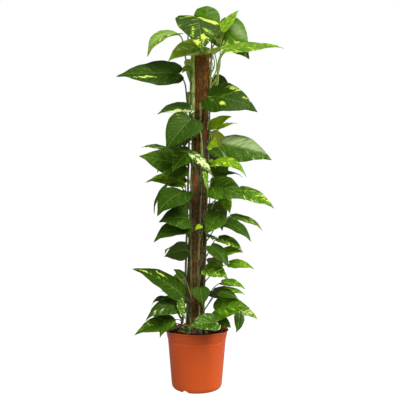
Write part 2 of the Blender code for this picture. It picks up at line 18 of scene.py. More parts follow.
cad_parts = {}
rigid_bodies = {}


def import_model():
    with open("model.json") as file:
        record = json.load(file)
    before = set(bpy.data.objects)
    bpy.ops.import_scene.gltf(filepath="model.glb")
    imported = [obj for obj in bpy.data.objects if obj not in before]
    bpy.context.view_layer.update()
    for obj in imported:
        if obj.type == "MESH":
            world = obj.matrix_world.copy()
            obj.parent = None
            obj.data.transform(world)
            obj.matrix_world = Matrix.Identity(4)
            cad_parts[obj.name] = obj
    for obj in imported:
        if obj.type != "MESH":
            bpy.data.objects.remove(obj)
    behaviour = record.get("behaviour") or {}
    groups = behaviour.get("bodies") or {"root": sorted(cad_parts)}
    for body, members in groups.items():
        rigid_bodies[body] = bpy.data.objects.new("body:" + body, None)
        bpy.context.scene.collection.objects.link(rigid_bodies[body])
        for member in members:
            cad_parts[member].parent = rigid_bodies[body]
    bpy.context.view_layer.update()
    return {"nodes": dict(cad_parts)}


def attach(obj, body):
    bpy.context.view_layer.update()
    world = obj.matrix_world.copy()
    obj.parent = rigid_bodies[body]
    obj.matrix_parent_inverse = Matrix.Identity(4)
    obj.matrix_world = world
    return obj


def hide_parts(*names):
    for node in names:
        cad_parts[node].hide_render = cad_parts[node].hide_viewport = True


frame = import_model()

MM = 0.001
UP = Vector((0.0, 0.0, 1.0))
X_AXIS = Vector((1.0, 0.0, 0.0))

# Pot, soil and pole, as in the model.
POT_HEIGHT = 0.210
RIM_RADIUS = 0.1225
LIP_HEIGHT = 0.0045
BAND_TOP_RADIUS = 0.1185
BAND_HEIGHT = 0.033
BAND_FOOT_RADIUS = 0.1128
BODY_TOP_RADIUS = 0.1112
BODY_FOOT_RADIUS = 0.0954
FOOT_RADIUS = 0.0895
POT_WALL = 0.0022
BAND_WALL = 1.6 * POT_WALL
POT_FLOOR = 0.0095
LIP_EDGE = 0.0015
FOOT_CURVE_LOW = 0.005
FOOT_CURVE_HIGH = 0.013
NOTCH_RADIUS = 0.0135
NOTCH_DROP = 0.0055
NOTCH_INSET = 0.012
NOTCH_ANGLES = (-117, 63)
DRAIN_RADIUS = 0.006
DRAIN_CIRCLE = 0.052
DRAIN_COUNT = 6
SOIL_TOP = 0.199
SOIL_EDGE = 0.196
POLE_FOOT = Vector((-0.0175, 0.0, 0.012))
POLE_LENGTH = 1.328
POLE_LEAN = math.radians(1.73)
SLEEVE_RADIUS = 0.032

# Stems, stalks and the rule that places the leaves, as in the model.
STEM_RADIUS = 0.0045
STEM_STEP = 0.065
STEM_BURIED = 0.055
STEM_STAND_OFF = 0.0012
FLARE = 0.020
FLARE_FADE = 0.045
STALK_OUT = 0.32
STALK_UP = 0.34
STALK_BACK = 0.30
STALK_BELOW = 0.16
STALK_RADIUS = 0.0023
STALK_STEPS = 4
STALK_LAP = 0.06
STALK_SINK = 0.3
STALK_LIMIT = 0.15
INNER_COLUMN = 0.55
TEST_THICKNESS = 4.5 * MM
TEST_VEINS = 4
TEST_SIDES = 5
STALK_CLEARANCE = 1.2 * MM
STEM_CLEARANCE = 1.0 * MM
PUSHES = [0.008 * step for step in range(18)]
RISES = (0.075, 0.050, 0.105, 0.030, 0.140, 0.180)
LONG_STALKS = {6: 0.130, 9: 0.190}
FOLDS = {0: 0.24, 4: -0.26, 5: 0.06}
STEMS = {
    "vine_left": (184, 192, 1.375, 0.010),
    "vine_front_left": (250, 201, 1.340, 0.0),
    "vine_front_right": (296, 272, 1.105, 0.0),
    "vine_right": (330, 354, 1.385, 0.0),
    "vine_back": (80, 104, 1.330, 0.0),
}
EYE = Vector((0.012, -1.600, 0.500))
EYE_PITCH = math.radians(7.6)
LENS = 35.91
OUTLINE = (
    (0.00, 0.00), (-0.045, 0.07), (-0.075, 0.19), (-0.035, 0.35), (0.09, 0.465),
    (0.27, 0.50), (0.47, 0.43), (0.67, 0.295), (0.85, 0.12), (1.00, 0.00),
)
BACK_SEED = 647
BACK_LEAVES = 21
BACK_LOWEST = 0.300
BACK_HIGHEST = 1.440
BACK_JITTER = 0.018
BACK_REACH = (0.080, 0.120)
BACK_SPREAD = (5, 62)
BACK_DROOP = (5, 62)
BACK_TOP_DROOP = (-25, 10)
BACK_TOP_SHARE = 0.93
BACK_LENGTH = (0.105, 0.195)
BACK_SIDE_CUT = 0.25
BACK_ROLL = 28
BACK_WIDTH = (0.62, 0.74)
BACK_ARCH = (0.08, 0.16)
BACK_NUMBER = 500
BACK_TONE = 0.15

# Leaves that show from the front, as in the model, each with its look: base x, z and
# depth, tip x, z and depth, width, turn, arch.
FRONT_LEAVES = (
    (-88, 1434, 0, -211, 1338, -40, 112, 62, 0.15, "lemon"),
    (63, 1349, -45, 118, 1367, -55, 40, 125, 0.08, "bright"),
    (33, 1372, -80, -126, 1313, -115, 140, 58, 0.08, "sage"),
    (94, 1474, -60, 222, 1322, -105, 150, 20, 0.04, "silver"),
    (40, 1466, -60, 42, 1535, 36, 108, 0, 0.28, "deep"),
    (0, 1507, -95, 18, 1361, -215, 180, -18, 0.06, "marbled"),
    (118, 1360, -115, 370, 1376, -60, 84, 66, 0.02, "straw"),
    (106, 1446, -110, 180, 1546, -70, 52, 44, 0.03, "lime"),
    (-35, 1286, -55, -64, 1255, -75, 34, 40, 0.05, "bright"),
    (-78, 1254, -50, -343, 1250, -80, 150, 51, 0.01, "dark"),
    (-30, 1100, -45, -164, 1080, -75, 95, 60, 0.07, "edged"),
    (46, 1150, -60, 254, 1090, -100, 160, 42, 0.10, "dark"),
    (82, 1010, 20, 169, 1036, 30, 60, 75, 0.08, "lime"),
    (53, 1023, -40, 144, 1068, -60, 70, 54, 0.05, "lime"),
    (-5, 1036, -60, -58, 930, -85, 90, 35, 0.08, "dark"),
    (-27, 1052, -85, -126, 928, -125, 128, 25, 0.05, "dark"),
    (-128, 925, 5, -231, 934, 10, 65, 72, 0.08, "pale"),
    (57, 917, -50, 76, 979, -60, 44, 33, 0.05, "lime"),
    (103, 940, -60, 309, 885, -95, 150, 42, 0.06, "grey"),
    (61, 921, -70, 110, 883, -85, 45, 24, 0.08, "dark"),
    (-53, 783, 0, -210, 791, 5, 105, 57, 0.10, "bright"),
    (-45, 854, -50, -239, 900, -85, 125, 28, 0.02, "dark"),
    (-25, 917, -75, -104, 831, -110, 95, 30, 0.08, "dark"),
    (-20, 905, -85, 63, 813, -115, 40, 30, 0.08, "white"),
    (69, 866, -80, 200, 812, -95, 64, 50, 0.24, "lime"),
    (73, 820, 20, 187, 812, 40, 75, 78, 0.10, "dark"),
    (55, 879, -60, 77, 845, -70, 28, 45, 0.05, "lime"),
    (178, 752, -15, 315, 683, -20, 100, 58, 0.04, "striped"),
    (65, 804, -60, 103, 771, -75, 38, 30, 0.05, "plain"),
    (57, 767, -55, 194, 718, -90, 125, 40, 0.12, "plain"),
    (30, 826, -85, 44, 743, -95, 20, 20, 0.04, "pale"),
    (101, 733, -75, 134, 660, -95, 58, 32, 0.08, "bright"),
    (-110, 790, -60, -177, 660, -90, 60, 75, 0.10, "dark"),
    (-41, 746, -45, -77, 653, -60, 70, 35, 0.10, "dark"),
    (-60, 744, -70, -158, 655, -105, 122, 42, 0.14, "dark"),
    (-36, 640, -60, -149, 628, -90, 115, 42, 0.10, "dark"),
    (140, 648, 5, 266, 591, -5, 85, 70, 0.12, "striped"),
    (108, 624, -55, 219, 549, -85, 90, 57, 0.10, "dark"),
    (90, 657, -80, 34, 576, -105, 85, 18, 0.06, "plain"),
    (16, 610, -90, -8, 592, -105, 22, 25, 0.10, "lime"),
    (-38, 612, -60, -172, 549, -95, 102, 48, 0.12, "dark"),
    (88, 560, -45, 183, 509, -70, 75, 58, 0.10, "striped"),
    (95, 497, -45, 185, 505, -60, 62, 54, 0.12, "bright"),
    (131, 461, -20, 228, 440, -30, 66, 57, 0.10, "bright"),
    (56, 529, -75, 127, 446, -105, 80, 46, 0.08, "dark"),
    (-40, 513, -70, -131, 489, -85, 95, 140, 0.04, "dark"),
    (34, 440, -70, 124, 402, -100, 88, 45, 0.08, "striped"),
    (-52, 409, -30, -94, 439, -25, 38, 42, 0.06, "dark"),
    (-58, 338, -65, -255, 446, -90, 118, 52, 0.06, "dark"),
    (106, 357, 10, 191, 340, 15, 50, 61, 0.10, "striped"),
    (99, 387, -50, 193, 361, -70, 62, 60, 0.10, "striped"),
    (90, 349, -75, 164, 321, -95, 55, 50, 0.10, "dark"),
    (12, 365, -95, 23, 297, -120, 66, 15, 0.06, "flat"),
    (-113, 317, 15, -179, 296, 25, 46, 64, 0.28, "dark"),
    (-82, 319, -20, -141, 355, -20, 46, 64, 0.08, "pale"),
    (168, 266, -40, 154, 195, -62, 52, 38, 0.05, "dark"),
    (71, 280, -70, 208, 290, -105, 105, 35, 0.12, "bright"),
    (-56, 298, -60, -200, 244, -78, 112, 54, 0.18, "grey"),
    (-93, 234, -60, -244, 190, -85, 104, 52, 0.08, "plain"),
    (-97, 243, -85, -145, 178, -115, 58, 53, 0.08, "plain"),
    (-66, 318, -100, -44, 244, -130, 32, 28, 0.12, "pale"),
    (86, 240, -56, 134, 214, -72, 52, 34, 0.08, "plain"),
    (78, 234, -100, -31, 217, -135, 80, 38, 0.06, "grey"),
    (175, 277, -70, 238, 244, -85, 45, 53, 0.10, "pale"),
)

# A look: how bright the green is, how much of the blade is streaked, how white the
# streaks are, each from 0 to 1.
LOOKS = {
    # The dark look is partly the leaves' own deep green and partly painted shade on leaves low on
    # the left.
    "dark": (0.00, 0.12, 0.20),
    "plain": (0.24, 0.24, 0.20),
    "deep": (0.34, 0.04, 0.05),
    "flat": (-0.10, 0.02, 0.00),
    "grey": (0.22, 0.44, 1.00),
    "edged": (0.10, 0.20, 0.90),
    # This look's grey-green streaks are partly a painted sheen.
    "silver": (0.55, 0.50, 0.40),
    "marbled": (0.25, 0.44, 0.10),
    "sage": (0.60, 0.52, 0.30),
    "striped": (0.42, 0.52, 0.25),
    "bright": (0.68, 0.34, 0.05),
    "lime": (1.05, 0.50, 0.00),
    "pale": (0.45, 0.62, 0.55),
    "white": (0.35, 0.58, 0.85),
    "lemon": (0.78, 0.62, 0.50),
    "straw": (0.72, 0.56, 0.15),
}

# Leaves darker or lighter than their look, by leaf.
TONES = {
    2: 0.34, 4: 0.04, 5: -0.28, 7: -0.22, 11: -0.04, 14: -0.15, 15: -0.20, 18: 0.02, 21: 0.20,
    22: 0.18, 24: -0.30, 30: 0.30, 36: -0.10, 48: -0.18, 55: 0.30, 56: -0.35, 57: -0.12,
}

# Patches painted on a leaf: where along the blade and across it, how long and how wide, all
# as fractions of the blade's length and width, and how strong. Above 0 they are yellow,
# below it a painted grey-green sheen.
PATCHES = {
    0: ((0.40, -0.10, 0.60, 0.14, -0.7),),
    2: ((0.50, 0.36, 0.40, 0.06, 0.8),),
    3: ((0.30, -0.34, 0.10, 0.05, 0.9), (0.62, 0.00, 0.08, 0.07, 0.6),
        (0.62, -0.25, 0.20, 0.08, 0.7), (0.36, 0.24, 0.36, 0.16, -0.8),
        (0.78, 0.12, 0.10, 0.10, 0.8)),
    5: ((0.13, 0.30, 0.05, 0.16, 1.2), (0.58, -0.16, 0.20, 0.022, 0.55),
        (0.70, 0.06, 0.16, 0.03, 0.6), (0.80, -0.05, 0.10, 0.05, 0.7)),
    9: ((0.56, 0.17, 0.30, 0.030, 1.2),),
    10: ((0.50, 0.30, 0.70, 0.17, 0.85),),
    11: ((0.40, 0.36, 0.16, 0.10, 0.9), (0.72, 0.16, 0.10, 0.05, 0.9),
         (0.34, -0.22, 0.07, 0.06, 0.9)),
    18: ((0.40, 0.24, 0.60, 0.20, -0.9), (0.55, 0.10, 0.50, 0.05, -0.6)),
    23: ((0.35, -0.12, 0.30, 0.14, 0.6), (0.60, 0.15, 0.24, 0.12, 0.6)),
    48: ((0.49, -0.22, 0.12, 0.04, 0.9), (0.78, -0.02, 0.09, 0.04, 0.9)),
}


def around(angle):
    """Give the level direction at an angle about +Z."""
    return Vector((math.cos(angle), math.sin(angle), 0.0))


def put(name, data):
    """Link a new object into the scene."""
    made = bpy.data.objects.new(name, data)
    bpy.context.scene.collection.objects.link(made)
    return made


def pole_place():
    return Matrix.Translation(POLE_FOOT) @ Matrix.Rotation(POLE_LEAN, 4, "Y")


def pole_axis(height):
    """Give the point of the pole's axis at a height."""
    return Vector((POLE_FOOT.x + math.tan(POLE_LEAN) * (height - POLE_FOOT.z), 0.0, height))


def ring_frames(path):
    """Give two cross directions at each point of a path, turned as little as possible."""
    frames = []
    across = None
    for index, point in enumerate(path):
        before = path[max(index - 1, 0)]
        after = path[min(index + 1, len(path) - 1)]
        along = (after - before).normalized()
        guess = across or Vector((1.0, 0.1, 0.0))
        across = (guess - along * guess.dot(along)).normalized()
        frames.append((across, along.cross(across)))
    return frames


def stem_point(name, height):
    """Give the centre of a climbing stem at a height."""
    low_angle, top_angle, top, spread = STEMS[name]
    share = max(0.0, (height - SOIL_TOP) / (top - SOIL_TOP))
    wander = 5.0 * math.sin(9.0 * height + low_angle)
    angle = math.radians(low_angle + (top_angle - low_angle) * share + wander)
    reach = SLEEVE_RADIUS + STEM_RADIUS + STEM_STAND_OFF + spread * share
    reach += FLARE * math.exp(-max(0.0, height - SOIL_TOP) / FLARE_FADE)
    return pole_axis(height) + reach * around(angle)


def stem_path(name, step):
    top = STEMS[name][2]
    bottom = SOIL_TOP - STEM_BURIED
    count = round((top - bottom) / step)
    heights = [bottom + (top - bottom) * i / count for i in range(count + 1)]
    return [stem_point(name, height) for height in heights]


def outline_point(share):
    """Read the blade's outline at a share of the way round, 0 to 1."""
    spot = min(share, 0.9999) * (len(OUTLINE) - 1)
    index = int(spot)
    part = spot - index
    four = [OUTLINE[min(max(index + k, 0), len(OUTLINE) - 1)] for k in (-1, 0, 1, 2)]
    result = []
    for before, here, there, beyond in zip(*four):
        result.append(here + 0.5 * part * (there - before + part * (
            2 * before - 5 * here + 4 * there - beyond + part * (
                3 * (here - there) + beyond - before))))
    return result


def vein_start(share):
    """Give where on the midrib the vein to an outline point starts."""
    return max(0.0, (share - 0.30) / 0.70) ** 1.3


class Leaf:
    """One blade: where it sits, which way it faces and how it curves."""

    def __init__(self, base, tip, facing, width, arch, number):
        self.base = base
        self.length = (tip - base).length
        self.axis = (tip - base).normalized()
        self.normal = (facing - self.axis * facing.dot(self.axis)).normalized()
        self.side = self.normal.cross(self.axis)
        self.width = width
        self.arch = arch
        self.number = number
        draw = random.Random(number)
        drawn_fold = draw.uniform(0.04, 0.22)
        self.fold = FOLDS.get(number, drawn_fold)
        self.curl = draw.uniform(0.02, 0.07)
        self.wave = draw.uniform(0.010, 0.028)
        self.phase = draw.uniform(0.0, math.tau)
        self.rises = ((LONG_STALKS[number],) if number in LONG_STALKS else ()) + RISES

    def lift(self, along, across):
        """Give how far the blade rises off its flat plane."""
        out = 2 * abs(across)
        lift = self.arch * self.length * 4 * along * (1 - along)
        lift += self.width * (self.fold * out / 2 - self.curl * out * out)
        ripple = math.sin(9.0 * along + self.phase + (2.2 if across > 0 else 0.0))
        return lift + self.wave * self.width * ripple * out * out

    def point(self, along, across, extra=0.0):
        """Place a point given by fractions of the blade's length and width."""
        return (self.base + self.axis * along * self.length + self.side * across * self.width
                + self.normal * (self.lift(along, across) + extra))

    def moved(self, shift):
        copy = object.__new__(Leaf)
        copy.__dict__.update(self.__dict__)
        copy.base = self.base + shift
        return copy


def blade_rim(grid, rows, last, tip):
    """List the points round a blade's edge: up its right side from the notch and back."""
    right, left = [
        [grid[1, hand * column] for column in range(1, last)]
        + [grid[row, hand * last] for row in range(1, rows + 1)] for hand in (1, -1)]
    return [0] + right + [tip] + left[::-1]


def test_blade(leaf):
    """Give the coarse thick blade that the leaves are kept apart by."""
    points = [leaf.point(0.0, 0.0)]
    grid = {}
    for row in range(1, TEST_VEINS + 1):
        share = row / (TEST_VEINS + 1)
        along, across = outline_point(share)
        start = vein_start(share)
        grid[row, 0] = 0
        if start > 0:
            grid[row, 0] = len(points)
            points.append(leaf.point(start, 0.0))
        for hand in (-1, 1):
            grid[row, hand] = len(points)
            inner = start + INNER_COLUMN * (along - start)
            points.append(leaf.point(inner, hand * INNER_COLUMN * across))
            grid[row, 2 * hand] = len(points)
            points.append(leaf.point(along, hand * across))
    tip = len(points)
    points.append(leaf.point(1.0, 0.0))
    faces = []
    for hand in (-1, 1):
        for row in range(1, TEST_VEINS):
            for inner, outer in ((0, hand), (hand, 2 * hand)):
                a, b = grid[row, inner], grid[row, outer]
                c, d = grid[row + 1, outer], grid[row + 1, inner]
                pair = [(a, b, c), (a, c, d)]
                faces += [face[::hand] for face in pair if len(set(face)) == 3]
        faces.append((grid[TEST_VEINS, 0], grid[TEST_VEINS, hand], tip)[::hand])
        faces.append((grid[TEST_VEINS, hand], grid[TEST_VEINS, 2 * hand], tip)[::hand])
    rim = blade_rim(grid, TEST_VEINS, 2, tip)
    normals = [Vector() for _ in points]
    for a, b, c in faces:
        cross = (points[b] - points[a]).cross(points[c] - points[a])
        for index in (a, b, c):
            normals[index] += cross
    count = len(points)
    half = [TEST_THICKNESS / 2 * normal.normalized() for normal in normals]
    shell = [point + h for point, h in zip(points, half)]
    shell += [point - h for point, h in zip(points, half)]
    solid = list(faces) + [tuple(i + count for i in reversed(face)) for face in faces]
    for here, there in zip(rim, rim[1:] + rim[:1]):
        solid += [(here, here + count, there + count), (here, there + count, there)]
    return BVHTree.FromPolygons(shell, solid)


def ring_faces(rings, sides):
    """Give the four-sided faces between rings of points that lie one after another."""
    faces = []
    for first in range(0, (rings - 1) * sides, sides):
        for side in range(sides):
            here = first + side
            beside = first + (side + 1) % sides
            faces.append((here, beside, beside + sides, here + sides))
    return faces


def tube_shape(path, radii, sides, shape=None):
    """Give a closed tube of changing radius; shape(angle, ring) scales it round the ring."""
    points = []
    for ring, (centre, (across, beside)) in enumerate(zip(path, ring_frames(path))):
        for side in range(sides):
            angle = math.tau * side / sides
            radius = radii[ring] * (shape(angle, ring) if shape else 1.0)
            points.append(centre + radius * (math.cos(angle) * across + math.sin(angle) * beside))
    faces = ring_faces(len(path), sides)
    faces.append(tuple(reversed(range(sides))))
    faces.append(tuple(range(len(points) - sides, len(points))))
    return points, faces


def test_bar(path, radius):
    """Give the round bar that a stem or stalk is kept clear by."""
    return BVHTree.FromPolygons(*tube_shape(path, [radius] * len(path), TEST_SIDES))


def stalk_path(leaf, stem_name, rise, steps):
    """Curve a leaf stalk from its node on the stem to the notch of its blade."""
    top = STEMS[stem_name][2] - 0.012
    node = min(max(leaf.base.z - rise, SOIL_TOP + 0.010), top)
    start = stem_point(stem_name, node)
    outward = (start - pole_axis(node)).normalized()
    reach = (leaf.base - start).length
    first = start + reach * (STALK_OUT * outward + STALK_UP * UP)
    end = leaf.point(STALK_LAP, 0.0) - STALK_SINK * STALK_RADIUS * leaf.normal
    second = leaf.base - reach * (STALK_BACK * leaf.axis + STALK_BELOW * leaf.normal)
    path = []
    for index in range(steps + 1):
        t = index / steps
        path.append((1 - t) ** 3 * start + 3 * t * (1 - t) ** 2 * first
                    + 3 * t * t * (1 - t) * second + t ** 3 * end)
    return path


def node_tree(name):
    """Read a node of the model into a search tree."""
    mesh = frame["nodes"][name].data
    points = [vertex.co for vertex in mesh.vertices]
    return BVHTree.FromPolygons(points, [tuple(face.vertices) for face in mesh.polygons])


def nearest_stem(base):
    """Choose, of the stems that grow high enough, the one on a blade's side of the pole."""
    def turn(name):
        height = min(base.z, STEMS[name][2])
        away = base - pole_axis(base.z)
        arm = stem_point(name, height) - pole_axis(height)
        return Vector((away.x, away.y)).angle(Vector((arm.x, arm.y)))
    return min((name for name in STEMS if STEMS[name][2] > base.z - STALK_LIMIT), key=turn)


def crossings(tree, others):
    return sum(len(tree.overlap(other)) for other in others)


def settle(leaf, push_line, stem_name, placed):
    """Move a blade along its line, and its stalk's node up or down, until both are clear."""
    best = None
    own_bars = (stem_name + " stem", stem_name + " stalk")
    fixed = [tree for owner, tree in placed if owner not in own_bars]
    every = [tree for owner, tree in placed]
    for push in PUSHES:
        trial = leaf.moved(push * push_line)
        blade = test_blade(trial)
        hits = crossings(blade, every)
        if best and hits >= best[0]:
            continue
        for rise in leaf.rises:
            path = stalk_path(trial, stem_name, rise, STALK_STEPS)
            stalk = test_bar(path, STALK_RADIUS + STALK_CLEARANCE)
            total = hits + crossings(stalk, fixed)
            if best is None or total < best[0]:
                best = (total, trial, rise, blade, stalk)
            if total == 0:
                break
        if best[0] == 0:
            break
    return best


def sight_point(x, z, depth):
    """Give the point at a depth that shows where (x, z) shows beside the pole, from mm."""
    beside = Vector((x * MM, 0.0, z * MM))
    return EYE.lerp(beside, 1.0 + depth * MM / -EYE.y)


def front_leaf(row, number):
    x, z, depth, tip_x, tip_z, tip_depth, width, turn, arch = row[:9]
    base = sight_point(x, z, depth)
    tip = sight_point(tip_x, tip_z, tip_depth)
    axis = (tip - base).normalized()
    to_eye = (EYE - base).normalized()
    facing = (to_eye - axis * axis.dot(to_eye)).normalized()
    lifted = axis.cross(facing)
    outward = 0.4 if base.x > pole_axis(base.z).x else -0.4
    if lifted.dot(Vector((outward, 0.0, 1.0))) < 0:
        lifted.negate()
    angle = math.radians(turn)
    facing = math.cos(angle) * facing + math.sin(angle) * lifted
    leaf = Leaf(base, tip, facing, width * MM, arch, number)
    tone, streaked, whiteness = LOOKS[row[9]]
    leaf.look = (tone + TONES.get(number, 0.0), streaked, whiteness)
    return leaf, to_eye


def back_leaf(index, draw):
    """Set a leaf on the far side of the pole, drooping outwards."""
    share = index / (BACK_LEAVES - 1)
    height = BACK_LOWEST + (BACK_HIGHEST - BACK_LOWEST) * share
    height += draw.uniform(-BACK_JITTER, BACK_JITTER)
    spread = draw.uniform(*BACK_SPREAD)
    angle = math.radians(90 + (-1) ** index * spread)
    outward = around(angle)
    base = pole_axis(height) + draw.uniform(*BACK_REACH) * outward
    droop = draw.uniform(*(BACK_DROOP if share < BACK_TOP_SHARE else BACK_TOP_DROOP))
    down = math.radians(droop)
    length = draw.uniform(*BACK_LENGTH) * (1 - BACK_SIDE_CUT * spread / BACK_SPREAD[1])
    tip = base + length * (math.cos(down) * outward - math.sin(down) * UP)
    roll = math.radians(draw.uniform(-BACK_ROLL, BACK_ROLL))
    sideways = Vector((-outward.y, outward.x, 0.0))
    facing = UP * math.cos(roll) + sideways * math.sin(roll)
    width = length * draw.uniform(*BACK_WIDTH)
    leaf = Leaf(base, tip, facing, width, draw.uniform(*BACK_ARCH), BACK_NUMBER + index)
    names = sorted(LOOKS)
    tone, streaked, whiteness = LOOKS[names[(index * 3) % len(names)]]
    leaf.look = (tone - BACK_TONE, streaked, whiteness)
    return leaf, outward


def arrange_leaves():
    """Place every leaf by the model's rule and give (stem name, leaf, rise) rows."""
    placed = [(name, node_tree(name)) for name in ("pot", "soil", "coir_sleeve")]
    for name in STEMS:
        path = stem_path(name, STEM_STEP)
        placed.append((name + " stem", test_bar(path, STEM_RADIUS + STEM_CLEARANCE)))
    draw = random.Random(BACK_SEED)
    wanted = [back_leaf(index, draw) for index in range(BACK_LEAVES)]
    wanted += [front_leaf(row, number) for number, row in enumerate(FRONT_LEAVES)]
    leaves = []
    for leaf, push_line in wanted:
        stem_name = nearest_stem(leaf.base)
        _, settled, rise, blade_tree, stalk = settle(leaf, push_line, stem_name, placed)
        placed.append((stem_name, blade_tree))
        placed.append((stem_name + " stalk", stalk))
        leaves.append((stem_name, settled, rise))
    return leaves


class Build:
    """Points, faces and per-point values gathered for one piece."""

    def __init__(self):
        self.points = []
        self.faces = []
        self.values = {}

    def add(self, points, faces, **values):
        """Add a closed shape; each value is one vector for all its points or a list."""
        start = len(self.points)
        self.points += [tuple(point) for point in points]
        self.faces += [tuple(index + start for index in face) for face in faces]
        for name, value in values.items():
            rows = value if isinstance(value, list) else [value] * len(points)
            self.values.setdefault(name, []).extend(rows)

    def piece(self, name, finish, smooth=True):
        mesh = bpy.data.meshes.new(name)
        mesh.from_pydata(self.points, [], self.faces)
        for value_name, rows in self.values.items():
            layer = mesh.attributes.new(value_name, "FLOAT_VECTOR", "POINT")
            layer.data.foreach_set("vector", np.array(rows, np.float32).ravel())
        mesh.materials.append(finish)
        if smooth:
            mesh.shade_smooth()
        return put(name, mesh)


class Finish:
    """A material being wired: each call adds one node and gives its output."""

    def __init__(self, name):
        self.material = bpy.data.materials.new(name)
        self.material.use_nodes = True
        self.tree = self.material.node_tree
        self.shader = self.tree.nodes["Principled BSDF"]

    def feed(self, socket, value):
        if isinstance(value, bpy.types.NodeSocket):
            self.tree.links.new(value, socket)
        else:
            socket.default_value = value

    def add(self, kind, out, inputs, **settings):
        node = self.tree.nodes.new(kind)
        for key, value in settings.items():
            setattr(node, key, value)
        for slot, value in inputs.items():
            self.feed(node.inputs[slot], value)
        return node.outputs[out]

    def maths(self, operation, first, second=0.0, third=0.0):
        inputs = {0: first, 1: second, 2: third}
        return self.add("ShaderNodeMath", 0, inputs, operation=operation)

    def times(self, first, second):
        return self.maths("MULTIPLY", first, second)

    def scaled(self, value, factor, offset):
        return self.maths("MULTIPLY_ADD", value, factor, offset)

    def parts(self, name):
        """Read a vector attribute as its three numbers."""
        vector = self.add("ShaderNodeAttribute", "Vector", {}, attribute_name=name)
        node = self.tree.nodes.new("ShaderNodeSeparateXYZ")
        self.feed(node.inputs[0], vector)
        return node.outputs

    def vector(self, x, y, z):
        return self.add("ShaderNodeCombineXYZ", 0, {0: x, 1: y, 2: z})

    def noise(self, vector, scale=1.0, detail=2.0, roughness=0.5, distortion=0.0):
        inputs = {"Vector": vector, "Scale": scale, "Detail": detail,
                  "Roughness": roughness, "Distortion": distortion}
        return self.add("ShaderNodeTexNoise", "Fac", inputs)

    def step(self, value, low, high, first=0.0, last=1.0):
        """Rise smoothly from first to last as value goes from low to high."""
        inputs = {"Value": value, "From Min": low, "From Max": high,
                  "To Min": first, "To Max": last}
        return self.add("ShaderNodeMapRange", 0, inputs, interpolation_type="SMOOTHSTEP")

    def mix(self, share, first, second):
        inputs = {0: share, 6: first, 7: second}
        return self.add("ShaderNodeMix", 2, inputs, data_type="RGBA")

    def blend(self, value, low, high, first, second):
        """Change from the first colour to the second as value goes from low to high."""
        return self.mix(self.step(value, low, high), first, second)

    def place(self):
        return self.add("ShaderNodeTexCoord", "Object", {})

    def stretched(self, scale, turn=(0.0, 0.0, 0.0)):
        """Give the object's own coordinates, turned, and scaled along each axis."""
        inputs = {"Vector": self.place(), "Scale": scale, "Rotation": turn}
        return self.add("ShaderNodeMapping", 0, inputs)

    def bump(self, height, strength, distance):
        inputs = {"Height": height, "Strength": strength, "Distance": distance}
        return self.add("ShaderNodeBump", 0, inputs)

    def set(self, **sockets):
        for name, value in sockets.items():
            self.feed(self.shader.inputs[name.replace("_", " ")], value)
        return self.material


def rgb(red, green, blue):
    return (red, green, blue, 1.0)


DARK_GREEN = rgb(0.024, 0.062, 0.003)
MID_GREEN = rgb(0.078, 0.195, 0.005)
BRIGHT_GREEN = rgb(0.290, 0.490, 0.010)
GREY_GREEN = rgb(0.230, 0.340, 0.130)
YELLOW = rgb(0.660, 0.760, 0.050)
CREAM = rgb(0.800, 0.850, 0.450)
UNDER_GREEN = rgb(0.400, 0.510, 0.100)
FLECK_GREEN = rgb(0.200, 0.380, 0.030)
FLECK_CREAM = rgb(0.480, 0.600, 0.300)
PAINTED_SHEEN_GREY = rgb(0.340, 0.450, 0.190)
VEIN_GREEN = rgb(0.20, 0.36, 0.05)
RIB_GREEN = rgb(0.28, 0.44, 0.06)
EDGE_GREEN = rgb(0.36, 0.46, 0.08)
UNDER_DARK = rgb(0.075, 0.125, 0.022)
UNDER_BRIGHT = rgb(0.780, 0.920, 0.080)
SHEEN_GREEN = rgb(0.60, 1.0, 0.25)
LATERAL_VEINS = 10.0


